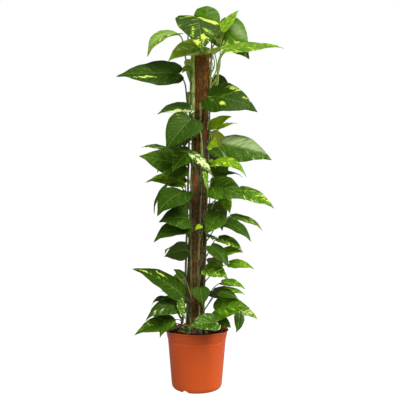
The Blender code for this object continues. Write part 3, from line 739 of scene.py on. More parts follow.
def leaf_finish():
    """Glossy green with streaks and patches of yellow that follow the side veins, and a painted
    grey-green sheen on a few leaves.
    """
    f = Finish("pothos_leaf")
    vein, across, rib = f.parts("blade_place")
    tone, streaked, whiteness = f.parts("blade_look")
    seed, under, paint = f.parts("blade_more")
    out = f.maths("ABSOLUTE", across)
    hand = f.maths("GREATER_THAN", across, 0.0)
    own = f.scaled(hand, 7.3, f.times(seed, 61.0))

    def along_veins(fine, outward, detail, roughness, distortion):
        place = f.vector(f.times(vein, fine), f.times(out, outward), own)
        return f.noise(place, 1.0, detail, roughness, distortion)

    patches = along_veins(8.5, 1.2, 1.0, 0.5, 0.5)
    streaks = along_veins(34.0, 1.6, 3.0, 0.6, 0.3)
    hairs = along_veins(90.0, 3.0, 3.0, 0.6, 0.3)
    mottle = f.scaled(patches, 0.50, f.times(streaks, 0.50))
    limit = f.scaled(streaked, -0.26, 0.725)
    over = f.maths("SUBTRACT", f.scaled(paint, 0.34, mottle), limit)
    full = f.step(over, 0.0, 0.030)
    part = f.step(over, -0.060, -0.010, 0.0, 0.75)
    flecks = f.times(f.step(hairs, 0.56, 0.68), f.step(streaks, 0.44, 0.58))

    shade = f.maths("ADD", tone, f.scaled(mottle, 1.6, -0.80))
    green = f.blend(shade, 0.0, 0.55, DARK_GREEN, MID_GREEN)
    green = f.blend(shade, 0.50, 1.10, green, BRIGHT_GREEN)
    fleck = f.mix(whiteness, FLECK_GREEN, FLECK_CREAM)
    colour = f.mix(f.times(flecks, 0.55), green, fleck)
    colour = f.mix(part, colour, f.mix(whiteness, BRIGHT_GREEN, GREY_GREEN))
    colour = f.mix(full, colour, f.mix(whiteness, YELLOW, CREAM))
    # Patches below 0 lay grey-green over the streaks: a painted sheen.
    painted_sheen = f.times(f.step(paint, -0.15, -0.80), f.step(streaks, 0.30, 0.62, 0.35, 1.0))
    colour = f.mix(painted_sheen, colour, PAINTED_SHEEN_GREY)

    wave = f.maths("FRACT", f.times(vein, LATERAL_VEINS))
    to_vein = f.maths("ABSOLUTE", f.maths("SUBTRACT", wave, 0.5))
    colour = f.mix(f.step(to_vein, 0.42, 0.50, 0.0, 0.16), colour, VEIN_GREEN)
    colour = f.mix(f.times(f.step(rib, 0.0014, 0.0005), 0.40), colour, RIB_GREEN)
    colour = f.mix(f.step(out, 0.975, 1.0, 0.0, 0.35), colour, EDGE_GREEN)
    below = f.blend(tone, 0.00, 0.60, UNDER_DARK, UNDER_GREEN)
    below = f.blend(tone, 0.70, 1.00, below, UNDER_BRIGHT)
    colour = f.mix(f.times(under, 0.70), colour, below)

    grain = f.noise(f.place(), 900.0, 2.0)
    relief = f.scaled(hairs, 0.25, f.scaled(grain, 0.10, f.times(to_vein, 0.6)))
    rough = f.scaled(under, 0.15, f.scaled(hairs, 0.20, 0.34))
    return f.set(Base_Color=colour, Roughness=rough, Specular_IOR_Level=0.12,
                 Specular_Tint=SHEEN_GREEN, Normal=f.bump(relief, 0.50, 0.0012))


def stem_finish():
    """Yellow-green above, brown below and with fine lines along it; stalks are darker."""
    f = Finish("pothos_stem")
    height, kind, seed = f.parts("stem_place")
    streak = f.noise(f.stretched((420.0, 420.0, 26.0)), 1.0, 3.0, 0.6)
    blotch = f.noise(f.place(), 60.0, 3.0, 0.6)
    age = f.maths("SUBTRACT", f.scaled(blotch, 0.7, -0.35), height)
    fresh = f.blend(streak, 0.40, 0.62, rgb(0.32, 0.44, 0.06), rgb(0.70, 0.80, 0.26))
    old = f.blend(streak, 0.35, 0.65, rgb(0.055, 0.045, 0.010), rgb(0.21, 0.20, 0.050))
    colour = f.blend(age, -0.90, -0.62, fresh, old)
    stalk = f.blend(streak, 0.35, 0.65, rgb(0.018, 0.040, 0.006), rgb(0.080, 0.150, 0.020))
    stalk_shade = f.maths("ADD", seed, f.scaled(blotch, 0.5, -0.25))
    stalk_shade = f.maths("ADD", stalk_shade, f.step(height, 0.9, 1.3, 0.0, 0.45))
    stalk = f.blend(stalk_shade, 0.65, 1.05, stalk, rgb(0.36, 0.50, 0.08))
    colour = f.mix(kind, colour, stalk)
    return f.set(Base_Color=colour, Roughness=f.step(blotch, 0.3, 0.7, 0.38, 0.62),
                 Normal=f.bump(streak, 0.4, 0.0006))


def root_finish():
    f = Finish("air_root")
    fine = f.noise(f.place(), 500.0, 3.0, 0.6)
    broad = f.noise(f.place(), 26.0, 2.0)
    colour = f.blend(broad, 0.38, 0.62, rgb(0.030, 0.032, 0.008), rgb(0.20, 0.15, 0.050))
    colour = f.mix(f.step(fine, 0.5, 0.72, 0.0, 0.6), colour, rgb(0.42, 0.33, 0.15))
    return f.set(Base_Color=colour, Roughness=0.75, Normal=f.bump(fine, 0.5, 0.0006))


def young_root_finish():
    f = Finish("young_root")
    blotch = f.noise(f.place(), 70.0, 3.0, 0.6)
    colour = f.blend(blotch, 0.38, 0.62, rgb(0.10, 0.11, 0.022), rgb(0.40, 0.40, 0.15))
    return f.set(Base_Color=colour, Roughness=0.6, Normal=f.bump(blotch, 0.4, 0.0006))


# Where the sleeve shows its freshest, reddest coir.
FRESH_COIR = (-0.012, -0.030, 0.783)


def coir_finish():
    """Matted brown coconut fibre: short crossing hairs, reddish patches, lighter clumps and
    painted shade in the gaps between them.
    """
    f = Finish("coir")
    first = f.noise(f.stretched((180.0, 180.0, 900.0), (0.5, 0.4, 0.3)), 1.0, 4.0, 0.65, 0.4)
    second = f.noise(f.stretched((900.0, 200.0, 200.0), (-0.6, 0.5, -0.4)), 1.0, 4.0, 0.65, 0.4)
    fibres = f.maths("MAXIMUM", first, second)
    broad = f.noise(f.place(), 34.0, 3.0, 0.6)
    clumps = [f.noise(f.stretched((230.0, 230.0, 50.0), (0.2, lean, 0.1)), 1.0, 3.0, 0.6, 0.5)
              for lean in (0.7, -0.7)]
    clump = f.maths("MAXIMUM", *clumps)
    away = f.add("ShaderNodeVectorMath", "Value", {0: f.place(), 1: FRESH_COIR},
                 operation="DISTANCE")
    colour = f.blend(fibres, 0.46, 0.66, rgb(0.040, 0.018, 0.004), rgb(0.440, 0.200, 0.036))
    for value, low, high, most, tint in (
        (broad, 0.40, 0.68, 0.50, rgb(0.440, 0.120, 0.030)),
        (away, 0.040, 0.022, 0.80, rgb(0.560, 0.120, 0.030)),
        # Dark where the clumps part: painted shade in the gaps.
        (clump, 0.58, 0.46, 0.60, rgb(0.024, 0.014, 0.004)),
        (clump, 0.60, 0.72, 0.65, rgb(0.640, 0.330, 0.110)),
    ):
        colour = f.mix(f.step(value, low, high, 0.0, most), colour, tint)
    return f.set(Base_Color=colour, Roughness=0.92, Specular_IOR_Level=0.15,
                 Normal=f.bump(fibres, 0.9, 0.0022))


def fibre_finish():
    f = Finish("coir_fibre")
    tint = f.noise(f.place(), 120.0, 1.0)
    colour = f.blend(tint, 0.35, 0.65, rgb(0.110, 0.042, 0.010), rgb(0.520, 0.250, 0.065))
    return f.set(Base_Color=colour, Roughness=0.85, Specular_IOR_Level=0.20)


def soil_finish():
    f = Finish("potting_soil")
    fine = f.noise(f.place(), 700.0, 4.0, 0.7)
    broad = f.noise(f.place(), 90.0, 3.0, 0.6)
    colour = f.blend(fine, 0.35, 0.7, rgb(0.010, 0.006, 0.004), rgb(0.060, 0.034, 0.020))
    colour = f.mix(f.step(broad, 0.55, 0.75, 0.0, 0.8), colour, rgb(0.120, 0.065, 0.033))
    return f.set(Base_Color=colour, Roughness=0.95, Normal=f.bump(fine, 0.9, 0.003))


def wood_finish():
    f = Finish("stake_wood")
    grain = f.noise(f.stretched((260.0, 260.0, 9.0)), 1.0, 4.0, 0.6)
    colour = f.blend(grain, 0.35, 0.65, rgb(0.30, 0.17, 0.08), rgb(0.52, 0.36, 0.20))
    return f.set(Base_Color=colour, Roughness=0.8, Normal=f.bump(grain, 0.4, 0.0008))


def pot_finish():
    """Satin terracotta-coloured plastic with a faint moulded grain and a little dust."""
    f = Finish("pot_plastic")
    grain = f.noise(f.place(), 1300.0, 2.0)
    cloud = f.noise(f.place(), 9.0, 3.0, 0.6)
    scuffs = f.noise(f.stretched((60.0, 60.0, 600.0)), 1.0, 4.0, 0.7)
    colour = f.mix(cloud, rgb(0.580, 0.077, 0.010), rgb(0.650, 0.104, 0.016))
    dust = f.step(scuffs, 0.64, 0.80, 0.0, 0.20)
    colour = f.mix(dust, colour, rgb(0.66, 0.22, 0.07))
    rough = f.scaled(cloud, 0.12, f.scaled(dust, 0.5, 0.24))
    return f.set(Base_Color=colour, Roughness=rough, Specular_IOR_Level=0.30,
                 Normal=f.bump(grain, 0.12, 0.0004))


BLADE_ROWS = 44
SMALL_BLADE_ROWS = 30
SMALL_BLADE = 0.090
COLUMNS = (0.0, 0.035, 0.10, 0.21, 0.35, 0.50, 0.65, 0.79, 0.90, 0.965, 1.0)
BLADE_THICKNESS = 0.8 * MM
RIM_THICKNESS = 0.3 * MM
GROOVE = 0.9 * MM
RIB = 1.0 * MM
GROOVE_WIDTH = 0.0028
RIB_WIDTH = 0.0016
QUILT = 0.55 * MM
FRILL = 1.0 * MM
ROLL = 1.3 * MM
ROLL_FROM = 0.80
TIP_FROM = 0.72
TIP_DROP = 0.045
RELIEF_WIDTH = 0.12
VEIN_SLANT = 0.75


def blade_spot(share, out):
    """Give the fractions (along, across) at a share of the outline and out from the rib."""
    along, across = outline_point(share)
    start = vein_start(share)
    sweep = out ** 1.30
    spread = 1 - (1 - out) ** 1.12
    return start + (along - start) * sweep, across * spread


def vein_place(leaf, along, across):
    """Number the slanted side veins: the same all along one, rising towards the tip."""
    return along - VEIN_SLANT * abs(across) * leaf.width / leaf.length


def blade_rise(leaf, share, out, along, hand):
    """Give the fine relief of a blade: groove, quilting between veins and a frilled edge."""
    size = leaf.width / RELIEF_WIDTH
    from_rib = out * leaf.width / 2
    rise = -GROOVE * (1 - 0.7 * along) * math.exp(-(from_rib / GROOVE_WIDTH) ** 2)
    body = math.sin(math.pi * min(out, 1.0)) ** 0.7
    slant = vein_place(leaf, along, blade_spot(share, out)[1])
    rise -= QUILT * size * body * math.cos(math.tau * LATERAL_VEINS * slant)
    frill = math.sin(31.0 * share + leaf.phase * 3 + 1.7 * hand)
    frill += 0.6 * math.sin(57.0 * share + leaf.phase * 5 - 0.9 * hand)
    rise += FRILL * size * frill * out ** 3
    rise -= ROLL * size * max(0.0, out - ROLL_FROM) / (1 - ROLL_FROM)
    tip_share = max(0.0, along - TIP_FROM) / (1 - TIP_FROM)
    return rise - TIP_DROP * leaf.length * tip_share * tip_share


def patch_strength(leaf, along, across):
    """Give how strongly a blade's own patches paint a point: above 0 yellow, below it a painted
    grey sheen.
    """
    total = 0.0
    for middle, side, long, wide, strength in PATCHES.get(leaf.number, ()):
        away = ((along - middle) / long) ** 2 + ((across - side) / wide) ** 2
        total += strength * math.exp(-away)
    return min(total, 1.0)


def fine_blade(build, leaf):
    """Add a leaf's fine blade, a closed thin solid, to a build."""
    rows = BLADE_ROWS if leaf.length > SMALL_BLADE else SMALL_BLADE_ROWS
    last = len(COLUMNS) - 1
    points = [leaf.point(0.0, 0.0, -GROOVE)]
    place = [(0.0, 0.0, 0.0)]
    paint = [0.0]
    thick = [BLADE_THICKNESS]
    keel = [RIB]
    grid = {}
    for row in range(1, rows + 1):
        share = row / (rows + 1)
        start = vein_start(share)
        for hand in (-1, 1):
            for column in range(last + 1):
                out = COLUMNS[column]
                if column == 0 and (start == 0 or hand == 1):
                    grid[row, 0] = grid.get((row, 0), 0)
                    continue
                along, across = blade_spot(share, out)
                rise = blade_rise(leaf, share, out, along, hand)
                key = (row, hand * column)
                grid[key] = len(points)
                points.append(leaf.point(along, hand * across, rise))
                from_rib = abs(across) * leaf.width
                place.append((vein_place(leaf, along, across), hand * out, from_rib))
                paint.append(patch_strength(leaf, along, hand * across))
                thinned = (BLADE_THICKNESS - RIM_THICKNESS) * (1 - out ** 6)
                thick.append(RIM_THICKNESS + thinned)
                keel.append(RIB * (1 - 0.8 * along) * math.exp(-(from_rib / RIB_WIDTH) ** 2))
    tip = len(points)
    points.append(leaf.point(1.0, 0.0, blade_rise(leaf, 1.0, 0.0, 1.0, 0)))
    place.append((1.0, 0.0, 0.0))
    paint.append(0.0)
    thick.append(RIM_THICKNESS)
    keel.append(0.0)
    faces = []
    for hand in (-1, 1):
        for column in range(last):
            inner, outer = hand * column, hand * (column + 1)
            for row in range(1, rows):
                face = (grid[row, inner], grid[row, outer],
                        grid[row + 1, outer], grid[row + 1, inner])
                face = tuple(dict.fromkeys(face))
                if len(face) > 2:
                    faces.append(face[::-hand])
            faces.append((grid[rows, inner], grid[rows, outer], tip)[::-hand])
    rim = blade_rim(grid, rows, last, tip)
    spots = np.array([tuple(point) for point in points])
    normals = np.zeros_like(spots)
    for face in faces:
        a, b, c = spots[face[0]], spots[face[1]], spots[face[2]]
        cross = np.cross(b - a, c - a)
        if len(face) == 4:
            cross = cross + np.cross(c - a, spots[face[3]] - a)
        for index in face:
            normals[index] += cross
    normals /= np.maximum(np.linalg.norm(normals, axis=1), 1e-12)[:, None]
    half = np.array(thick)[:, None] / 2
    upper = spots + half * normals
    lower = spots - (half + np.array(keel)[:, None]) * normals
    count = len(points)
    solid = faces + [tuple(index + count for index in face[::-1]) for face in faces]
    for here, there in zip(rim, rim[1:] + rim[:1]):
        solid.append((here + count, here, there, there + count))
    seed = random.Random(leaf.number + 7).random()
    more = [(seed, 0.0, spot) for spot in paint] + [(seed, 1.0, spot) for spot in paint]
    build.add(np.vstack([upper, lower]), solid, blade_place=place + place,
              blade_look=leaf.look, blade_more=more)


# The one stem that ends below the others' tops, without a young leaf.
HIDDEN_TOP = "vine_front_right"

# Stalks paler or, below 0, darker than the rest, and stalks thicker than the rest, by leaf.
STALK_SHADES = {0: 0.6, 6: 0.9, 9: -0.9, 23: -0.7, 32: -0.7}
STALK_SIZES = {0: 1.5, 6: 2.1, 7: 1.3, 9: 1.3, 23: 1.4}

STALK_SIDES = 9
FINE_STALK_STEPS = 16
STALK_WING = 0.9 * MM
STALK_JOINT = 0.6 * MM
STALK_GROOVE = 0.16

# How much thicker a stem grows near its top, as a share of its radius.
STEM_SWELL = {"vine_front_left": 1.1}
STEM_SWELL_FROM = 0.60
STEM_SWELL_OVER = 0.15
STEM_NODE = 0.8 * MM
STEM_NODE_HALF = 0.0042
STEM_RIBS = 7
STEM_RIB_DEPTH = 0.035
STEM_FINE_STEP = 0.006
STEM_FINE_SIDES = 14
YOUNG_HEIGHT = 1.35
SHOOT_STEPS = 10
SHOOT_RADIUS = 3.4 * MM


def add_stalk(build, leaf, stem_name, rise):
    """Add a leaf stalk: winged where it leaves the stem, with a thick joint at the blade."""
    path = stalk_path(leaf, stem_name, rise, FINE_STALK_STEPS)
    size = min(1.15, 0.55 + leaf.length / 0.35) * STALK_SIZES.get(leaf.number, 1.0)
    radii = []
    for index in range(FINE_STALK_STEPS + 1):
        t = index / FINE_STALK_STEPS
        radius = STALK_RADIUS * (1.15 - 0.35 * t)
        radius += STALK_WING * math.exp(-(t / 0.16) ** 2)
        radius += STALK_JOINT * math.exp(-((t - 0.86) / 0.05) ** 2)
        radii.append(radius * size)
    points, faces = tube_shape(
        path, radii, STALK_SIDES,
        lambda angle, ring: 1.0 - STALK_GROOVE * max(0.0, math.cos(angle)) ** 6)
    seed = random.Random(leaf.number + 31).random() + STALK_SHADES.get(leaf.number, 0.0)
    build.add(points, faces, stem_place=(leaf.base.z, 1.0, seed))


def add_stem(build, name, joints):
    """Add a climbing stem, with a swollen ring where each stalk leaves it."""
    path = stem_path(name, STEM_FINE_STEP)
    draw = random.Random(name)
    turn = draw.uniform(0, math.tau)
    top = STEMS[name][2]
    bottom = SOIL_TOP - STEM_BURIED
    radii = []
    for point in path:
        share = (point.z - bottom) / (top - bottom)
        radius = STEM_RADIUS * (1.04 - 0.22 * share)
        swollen = min(1.0, max(0.0, (share - STEM_SWELL_FROM) / STEM_SWELL_OVER))
        radius *= 1 + STEM_SWELL.get(name, 0.0) * swollen
        for joint in joints:
            radius += STEM_NODE * math.exp(-((point.z - joint) / STEM_NODE_HALF) ** 2)
        radii.append(radius)
    radii[-1] *= 0.6
    points, faces = tube_shape(
        path, radii, STEM_FINE_SIDES,
        lambda angle, ring: 1.0 + STEM_RIB_DEPTH * math.cos(STEM_RIBS * angle + turn))
    heights = []
    for point in path:
        share = (point.z - SOIL_TOP) / (YOUNG_HEIGHT - SOIL_TOP)
        heights += [(share, 0.0, 0.5)] * STEM_FINE_SIDES
    build.add(points, faces, stem_place=heights)


def add_shoot(build, name):
    """Add the rolled young leaf at the top of a stem."""
    top = STEMS[name][2]
    draw = random.Random(name + " shoot")
    base = stem_point(name, top - 0.004)
    outward = (base - pole_axis(top)).normalized()
    lean = Vector((draw.uniform(-0.3, 0.3), draw.uniform(-0.3, 0.3), 0.0))
    length = draw.uniform(0.045, 0.075)
    path = []
    radii = []
    for index in range(SHOOT_STEPS + 1):
        t = index / SHOOT_STEPS
        path.append(base + length * (t * UP + t * t * (0.25 * outward + lean)))
        radii.append(SHOOT_RADIUS * math.sin(math.pi * (0.28 + 0.72 * t)) ** 0.8 + 0.15 * MM)
    points, faces = tube_shape(path, radii, 10,
                               lambda angle, ring: 1.0 + 0.14 * math.cos(angle + ring * 0.5))
    build.add(points, faces, stem_place=(0.2, 1.0, 1.0))


def make_vines(leaves):
    blade_finish = leaf_finish()
    stalk_finish = stem_finish()
    for name in STEMS:
        blades = Build()
        stems = Build()
        own = [row for row in leaves if row[0] == name]
        joints = []
        for _, leaf, rise in own:
            fine_blade(blades, leaf)
            add_stalk(stems, leaf, name, rise)
            joints.append(stalk_path(leaf, name, rise, 1)[0].z)
        add_stem(stems, name, joints)
        if name != HIDDEN_TOP:
            add_shoot(stems, name)
        for build, kind, finish in ((blades, "leaves", blade_finish),
                                    (stems, "stems", stalk_finish)):
            made = build.piece(name + "_" + kind, finish)
            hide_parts(name)
            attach(made, "root")


STEM_ROOT_STEPS = 14
WRAP_ROOTS = 46
HANGING_ROOTS = 16
HANGING_STEPS = 21
YOUNG_ROOTS = 14
YOUNG_STEPS = 16
YOUNG_FROM = 0.040


def sleeve_point(angle, height, reach):
    """Give a point round the pole, reach metres from its axis."""
    return pole_axis(height) + reach * around(angle)


def add_root(build, steps, sides, thick, taper, spot):
    """Add a root through spot(t) for t from 0 to 1, thinning by taper on its way."""
    shares = [index / steps for index in range(steps + 1)]
    radii = [thick - thick * taper * t for t in shares]
    build.add(*tube_shape([spot(t) for t in shares], radii, sides))


def stem_roots(build, draw):
    """Grip the sleeve with pairs of roots from the stems, thicker and more drooping low down."""
    for name, (_, _, top, _) in STEMS.items():
        height = SOIL_TOP + 0.03
        while height < top - 0.03:
            arm = stem_point(name, height) - pole_axis(height)
            start = math.atan2(arm.y, arm.x)
            low = 1.0 - (height - SOIL_TOP) / (top - SOIL_TOP)
            for hand in (-1, 1):
                turn = hand * math.radians(draw.uniform(25, 120))
                fall = draw.uniform(-0.035, 0.060 + 0.080 * low)
                swing = draw.uniform(-0.012, 0.012)
                thick = draw.uniform(0.7, 1.1 + 0.9 * low) * MM

                def spot(t):
                    z = height - fall * t + swing * math.sin(3.5 * t + height * 40)
                    reach = SLEEVE_RADIUS + thick * 0.7 + 1.0 * MM * math.sin(9 * t) ** 2
                    return sleeve_point(start + turn * t, max(z, SOIL_TOP + 0.002), reach)

                add_root(build, STEM_ROOT_STEPS, 5, thick, 0.6, spot)
            height += draw.uniform(0.022, 0.050 - 0.015 * low)


def wrap_roots(build, draw):
    """Wind roots up round the front of the sleeve, dipping in and out of it."""
    for _ in range(WRAP_ROOTS):
        angle = math.radians(draw.uniform(150, 390))
        turn = math.radians(draw.uniform(50, 130)) * draw.choice((-1, 1))
        low = draw.uniform(0.22, 0.90)
        rise = draw.uniform(0.05, 0.16)
        thick = draw.uniform(0.9, 2.0) * MM

        def spot(t):
            reach = SLEEVE_RADIUS + thick * (0.8 + 0.7 * math.sin(11 * t + angle))
            return sleeve_point(angle + turn * (t - 0.5), low + rise * t, reach)

        add_root(build, STEM_ROOT_STEPS, 6, thick * 1.1, 0.7 / 1.1, spot)


def hanging_roots(build, draw):
    """Hang long roots down the front of the sleeve."""
    for _ in range(HANGING_ROOTS):
        angle = math.radians(draw.uniform(150, 390))
        top = draw.uniform(0.36, 0.95)
        length = draw.uniform(0.15, 0.45)
        low = max(SOIL_TOP + 0.001, top - length)
        thick = draw.uniform(0.8, 1.6) * MM
        drift = draw.uniform(-0.5, 0.5)
        phase = draw.uniform(0, math.tau)

        def spot(t):
            turn = angle + drift * t + 0.10 * math.sin(7 * t + phase)
            return sleeve_point(turn, top + (low - top) * t, SLEEVE_RADIUS + thick + 0.8 * MM)

        add_root(build, HANGING_STEPS, 6, thick, 0.0, spot)


def young_roots(build, draw):
    """Arch pale young roots over the soil in front of the pole."""
    for _ in range(YOUNG_ROOTS):
        angle = math.radians(draw.uniform(215, 325))
        reach = draw.uniform(0.055, 0.098)
        swing = draw.uniform(0.4, 1.1) * draw.choice((-1, 1))
        hump = draw.uniform(0.016, 0.055)
        thick = draw.uniform(0.7, 1.2) * MM

        def spot(t):
            bow = math.sin(math.pi * t)
            out = YOUNG_FROM + (reach - YOUNG_FROM) * bow ** 0.7
            z = SOIL_TOP - 0.004 + hump * bow
            return POLE_FOOT.x * X_AXIS + out * around(angle + swing * (t - 0.5)) + z * UP

        add_root(build, YOUNG_STEPS, 6, thick, 0.0, spot)


def make_roots(finish, pale_finish):
    """Lay air roots round the sleeve and down to the soil, and young ones over the soil."""
    brown = Build()
    pale = Build()
    draw = random.Random(88)
    stem_roots(brown, draw)
    wrap_roots(brown, draw)
    hanging_roots(brown, draw)
    young_roots(pale, draw)
    for made in (brown.piece("air_roots", finish), pale.piece("young_roots", pale_finish)):
        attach(made, "root")


WRAP_SIDES = 110
WRAP_RINGS = 620
WRAP_EDGE = 0.010
WRAP_MIDDLE = SLEEVE_RADIUS - 1.3 * MM


def make_sleeve(finish):
    """Wrap the pole in a matted, uneven coat of coir."""
    place = pole_place()
    points = []
    for ring in range(WRAP_RINGS + 1):
        z = POLE_LENGTH * ring / WRAP_RINGS
        rounding = max(0.0, z - (POLE_LENGTH - WRAP_EDGE)) / WRAP_EDGE
        for side in range(WRAP_SIDES):
            out = around(math.tau * side / WRAP_SIDES)
            coarse = noise.noise(out * 2.2 + UP * z * 34)
            fine = noise.noise(out * 11 + UP * z * 260 + Vector((5, 7, 9)))
            reach = WRAP_MIDDLE + 1.7 * MM * coarse + 1.2 * MM * fine
            reach -= 6 * MM * rounding * rounding
            points.append(place @ (out * reach + UP * z))
    faces = ring_faces(WRAP_RINGS + 1, WRAP_SIDES)
    last = WRAP_RINGS * WRAP_SIDES
    bottom = len(points)
    points.append(place @ Vector((0, 0, 0)))
    points.append(place @ Vector((0, 0, POLE_LENGTH - 0.002)))
    for side in range(WRAP_SIDES):
        beside = (side + 1) % WRAP_SIDES
        faces.append((bottom, beside, side))
        faces.append((bottom + 1, last + side, last + beside))
    build = Build()
    build.add(points, faces)
    made = build.piece("coir_wrap", finish)
    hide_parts("coir_sleeve")
    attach(made, "root")


FIBRES = 3400
TOP_EVERY = 40
TOP_SPREAD = 0.018
FIBRE_STEPS = 4


def make_fibres(finish):
    """Cover the wrap with loose coconut fibres, most lying round it and some on its top."""
    build = Build()
    draw = random.Random(4)
    place = pole_place()
    for index in range(FIBRES):
        on_top = index % TOP_EVERY == 0
        angle = draw.uniform(0, math.tau)
        z = draw.uniform(SOIL_TOP - 0.01, POLE_LENGTH - 0.002)
        slope = draw.uniform(-1.3, 1.3)
        length = draw.uniform(0.010, 0.034)
        thick = draw.uniform(0.10, 0.24) * MM
        bend = draw.uniform(-25, 25)
        stand = draw.choice((0.3, 0.5, 0.7, 1.0, 2.2)) * MM
        path = []
        runs = [(step / FIBRE_STEPS - 0.5) * length for step in range(FIBRE_STEPS + 1)]
        for run in runs:
            bulge = stand * (1 - (2 * run / length) ** 2)
            reach = SLEEVE_RADIUS - 0.4 * MM + bulge + draw.uniform(-0.2, 0.2) * MM
            turn = angle + run * math.cos(slope) / SLEEVE_RADIUS
            height = z + run * math.sin(slope) + bend * run * run
            if on_top:
                reach = TOP_SPREAD * draw.uniform(0.3, 1.2)
                turn = angle * 7
                height = POLE_LENGTH - 0.002 + bulge
            else:
                height = min(height, POLE_LENGTH - 0.001)
            path.append(place @ (reach * around(turn) + height * UP))
        if on_top:
            path = [path[FIBRE_STEPS // 2] + run * around(slope * 3) for run in runs]
        build.add(*tube_shape(path, [thick] * FIBRE_STEPS + [thick * 0.4], 3))
    made = build.piece("coir_fibres", finish)
    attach(made, "root")


def lathe(name, profile, sides, finish):
    """Turn a closed profile of (radius, height) points, listed inside first, about Z."""
    work = bmesh.new()
    rings = []
    for radius, height in profile:
        if radius < 1e-6:
            rings.append([work.verts.new((0.0, 0.0, height))])
            continue
        turns = [math.tau * side / sides for side in range(sides)]
        rings.append([work.verts.new(radius * around(turn) + height * UP) for turn in turns])
    for first, second in zip(rings, rings[1:]):
        for side in range(sides):
            beside = (side + 1) % sides
            loop = [first[side % len(first)], second[side % len(second)],
                    second[beside % len(second)], first[beside % len(first)]]
            loop = list(dict.fromkeys(loop))
            if len(loop) > 2:
                work.faces.new(loop)
    bmesh.ops.recalc_face_normals(work, faces=work.faces)
    mesh = bpy.data.meshes.new(name)
    work.to_mesh(mesh)
    work.free()
    mesh.materials.append(finish)
    return put(name, mesh)


def rounded(profile, radius, steps=4):
    """Round the inner corners of an open (radius, height) profile."""
    points = [Vector(point) for point in profile]
    result = [profile[0]]
    for before, here, after in zip(points, points[1:], points[2:]):
        back, on = before - here, after - here
        size = min(radius, 0.45 * back.length, 0.45 * on.length)
        first = here + size * back.normalized()
        second = here + size * on.normalized()
        for index in range(steps + 1):
            t = index / steps
            spot = (1 - t) ** 2 * first + 2 * t * (1 - t) * here + t * t * second
            result.append((spot.x, spot.y))
    result.append(profile[-1])
    return result


POT_SIDES = 192
POT_ROUNDING = 0.0016
BAND_STEP = 0.004
RIB_LINE_DROP = 0.010
RIB_LINE = 0.0007
RIB_LINE_HALF = 0.0006
NOTCH_LENGTH = 0.030
SHARP_EDGE = math.radians(38)


def make_pot(finish):
    """Turn the pot's thin wall with its rim, band and rib line, and cut its holes."""
    band_bottom = POT_HEIGHT - BAND_HEIGHT
    lip_bottom = POT_HEIGHT - LIP_HEIGHT
    body_top = band_bottom - BAND_STEP
    rib = band_bottom - RIB_LINE_DROP
    fall = (BODY_TOP_RADIUS - BODY_FOOT_RADIUS) / (body_top - FOOT_CURVE_HIGH)
    at_rib = BODY_TOP_RADIUS - fall * (body_top - rib)
    profile = [
        (0.0, POT_FLOOR),
        (BODY_FOOT_RADIUS - 2 * POT_WALL, POT_FLOOR),
        (BODY_TOP_RADIUS - POT_WALL, band_bottom - 0.003),
        (BAND_FOOT_RADIUS - BAND_WALL, band_bottom + BAND_STEP),
        (BAND_TOP_RADIUS - BAND_WALL, lip_bottom),
        (RIM_RADIUS - BAND_WALL, POT_HEIGHT - LIP_EDGE),
        (RIM_RADIUS - BAND_WALL / 2, POT_HEIGHT),
        (RIM_RADIUS, POT_HEIGHT - LIP_EDGE),
        (RIM_RADIUS - 0.0006, lip_bottom + 0.001),
        (BAND_TOP_RADIUS, lip_bottom - 0.0025),
        (BAND_FOOT_RADIUS, band_bottom),
        (BODY_TOP_RADIUS + 0.0006, band_bottom - 0.001),
        (BODY_TOP_RADIUS, body_top),
        (at_rib, rib + 2 * RIB_LINE_HALF),
        (at_rib + RIB_LINE, rib + RIB_LINE_HALF),
        (at_rib + RIB_LINE, rib - RIB_LINE_HALF),
        (at_rib - 0.0001, rib - 2 * RIB_LINE_HALF),
        (BODY_FOOT_RADIUS, FOOT_CURVE_HIGH),
        (BODY_FOOT_RADIUS - POT_WALL, FOOT_CURVE_LOW),
        (FOOT_RADIUS, 0.0),
        (FOOT_RADIUS - 0.004, 0.0),
        (FOOT_RADIUS - 0.005, POT_FLOOR - POT_WALL),
        (0.0, POT_FLOOR - POT_WALL),
    ]
    pot = lathe("pot_shell", rounded(profile, POT_ROUNDING), POT_SIDES, finish)
    cutters = bpy.data.collections.new("pot_cutters")
    bpy.context.scene.collection.children.link(cutters)
    for angle in NOTCH_ANGLES:
        turn = Matrix.Rotation(math.radians(angle), 4, "Z")
        place = Matrix.Translation((FOOT_RADIUS - NOTCH_INSET, 0, -NOTCH_DROP))
        place = turn @ place @ Matrix.Rotation(math.pi / 2, 4, "Y")
        add_cutter(cutters, NOTCH_RADIUS, NOTCH_LENGTH, place)
    for index in range(DRAIN_COUNT):
        angle = math.tau * (index + 0.5) / DRAIN_COUNT
        spot = DRAIN_CIRCLE * around(angle) - POT_FLOOR / 2 * UP
        add_cutter(cutters, DRAIN_RADIUS, 2 * POT_FLOOR, Matrix.Translation(spot))
    cut = pot.modifiers.new("cut", "BOOLEAN")
    cut.operand_type = "COLLECTION"
    cut.collection = cutters
    graph = bpy.context.evaluated_depsgraph_get()
    pot.data = bpy.data.meshes.new_from_object(pot.evaluated_get(graph))
    pot.modifiers.clear()
    for tool in list(cutters.objects):
        bpy.data.objects.remove(tool)
    bpy.data.collections.remove(cutters)
    pot.data.shade_smooth()
    pot.data.set_sharp_from_angle(angle=SHARP_EDGE)
    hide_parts("pot")
    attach(pot, "root")


def add_cutter(group, radius, length, place):
    mesh = bpy.data.meshes.new("cutter")
    work = bmesh.new()
    bmesh.ops.create_cone(work, cap_ends=True, segments=32, radius1=radius,
                          radius2=radius, depth=length)
    bmesh.ops.translate(work, verts=work.verts, vec=(0, 0, length / 2))
    work.to_mesh(mesh)
    work.free()
    tool = bpy.data.objects.new("cutter", mesh)
    tool.matrix_world = place
    group.objects.link(tool)


CRUMBS = 2600
CRUMB_SIZES = (1.3, 1.6, 2.0, 2.6, 3.6)


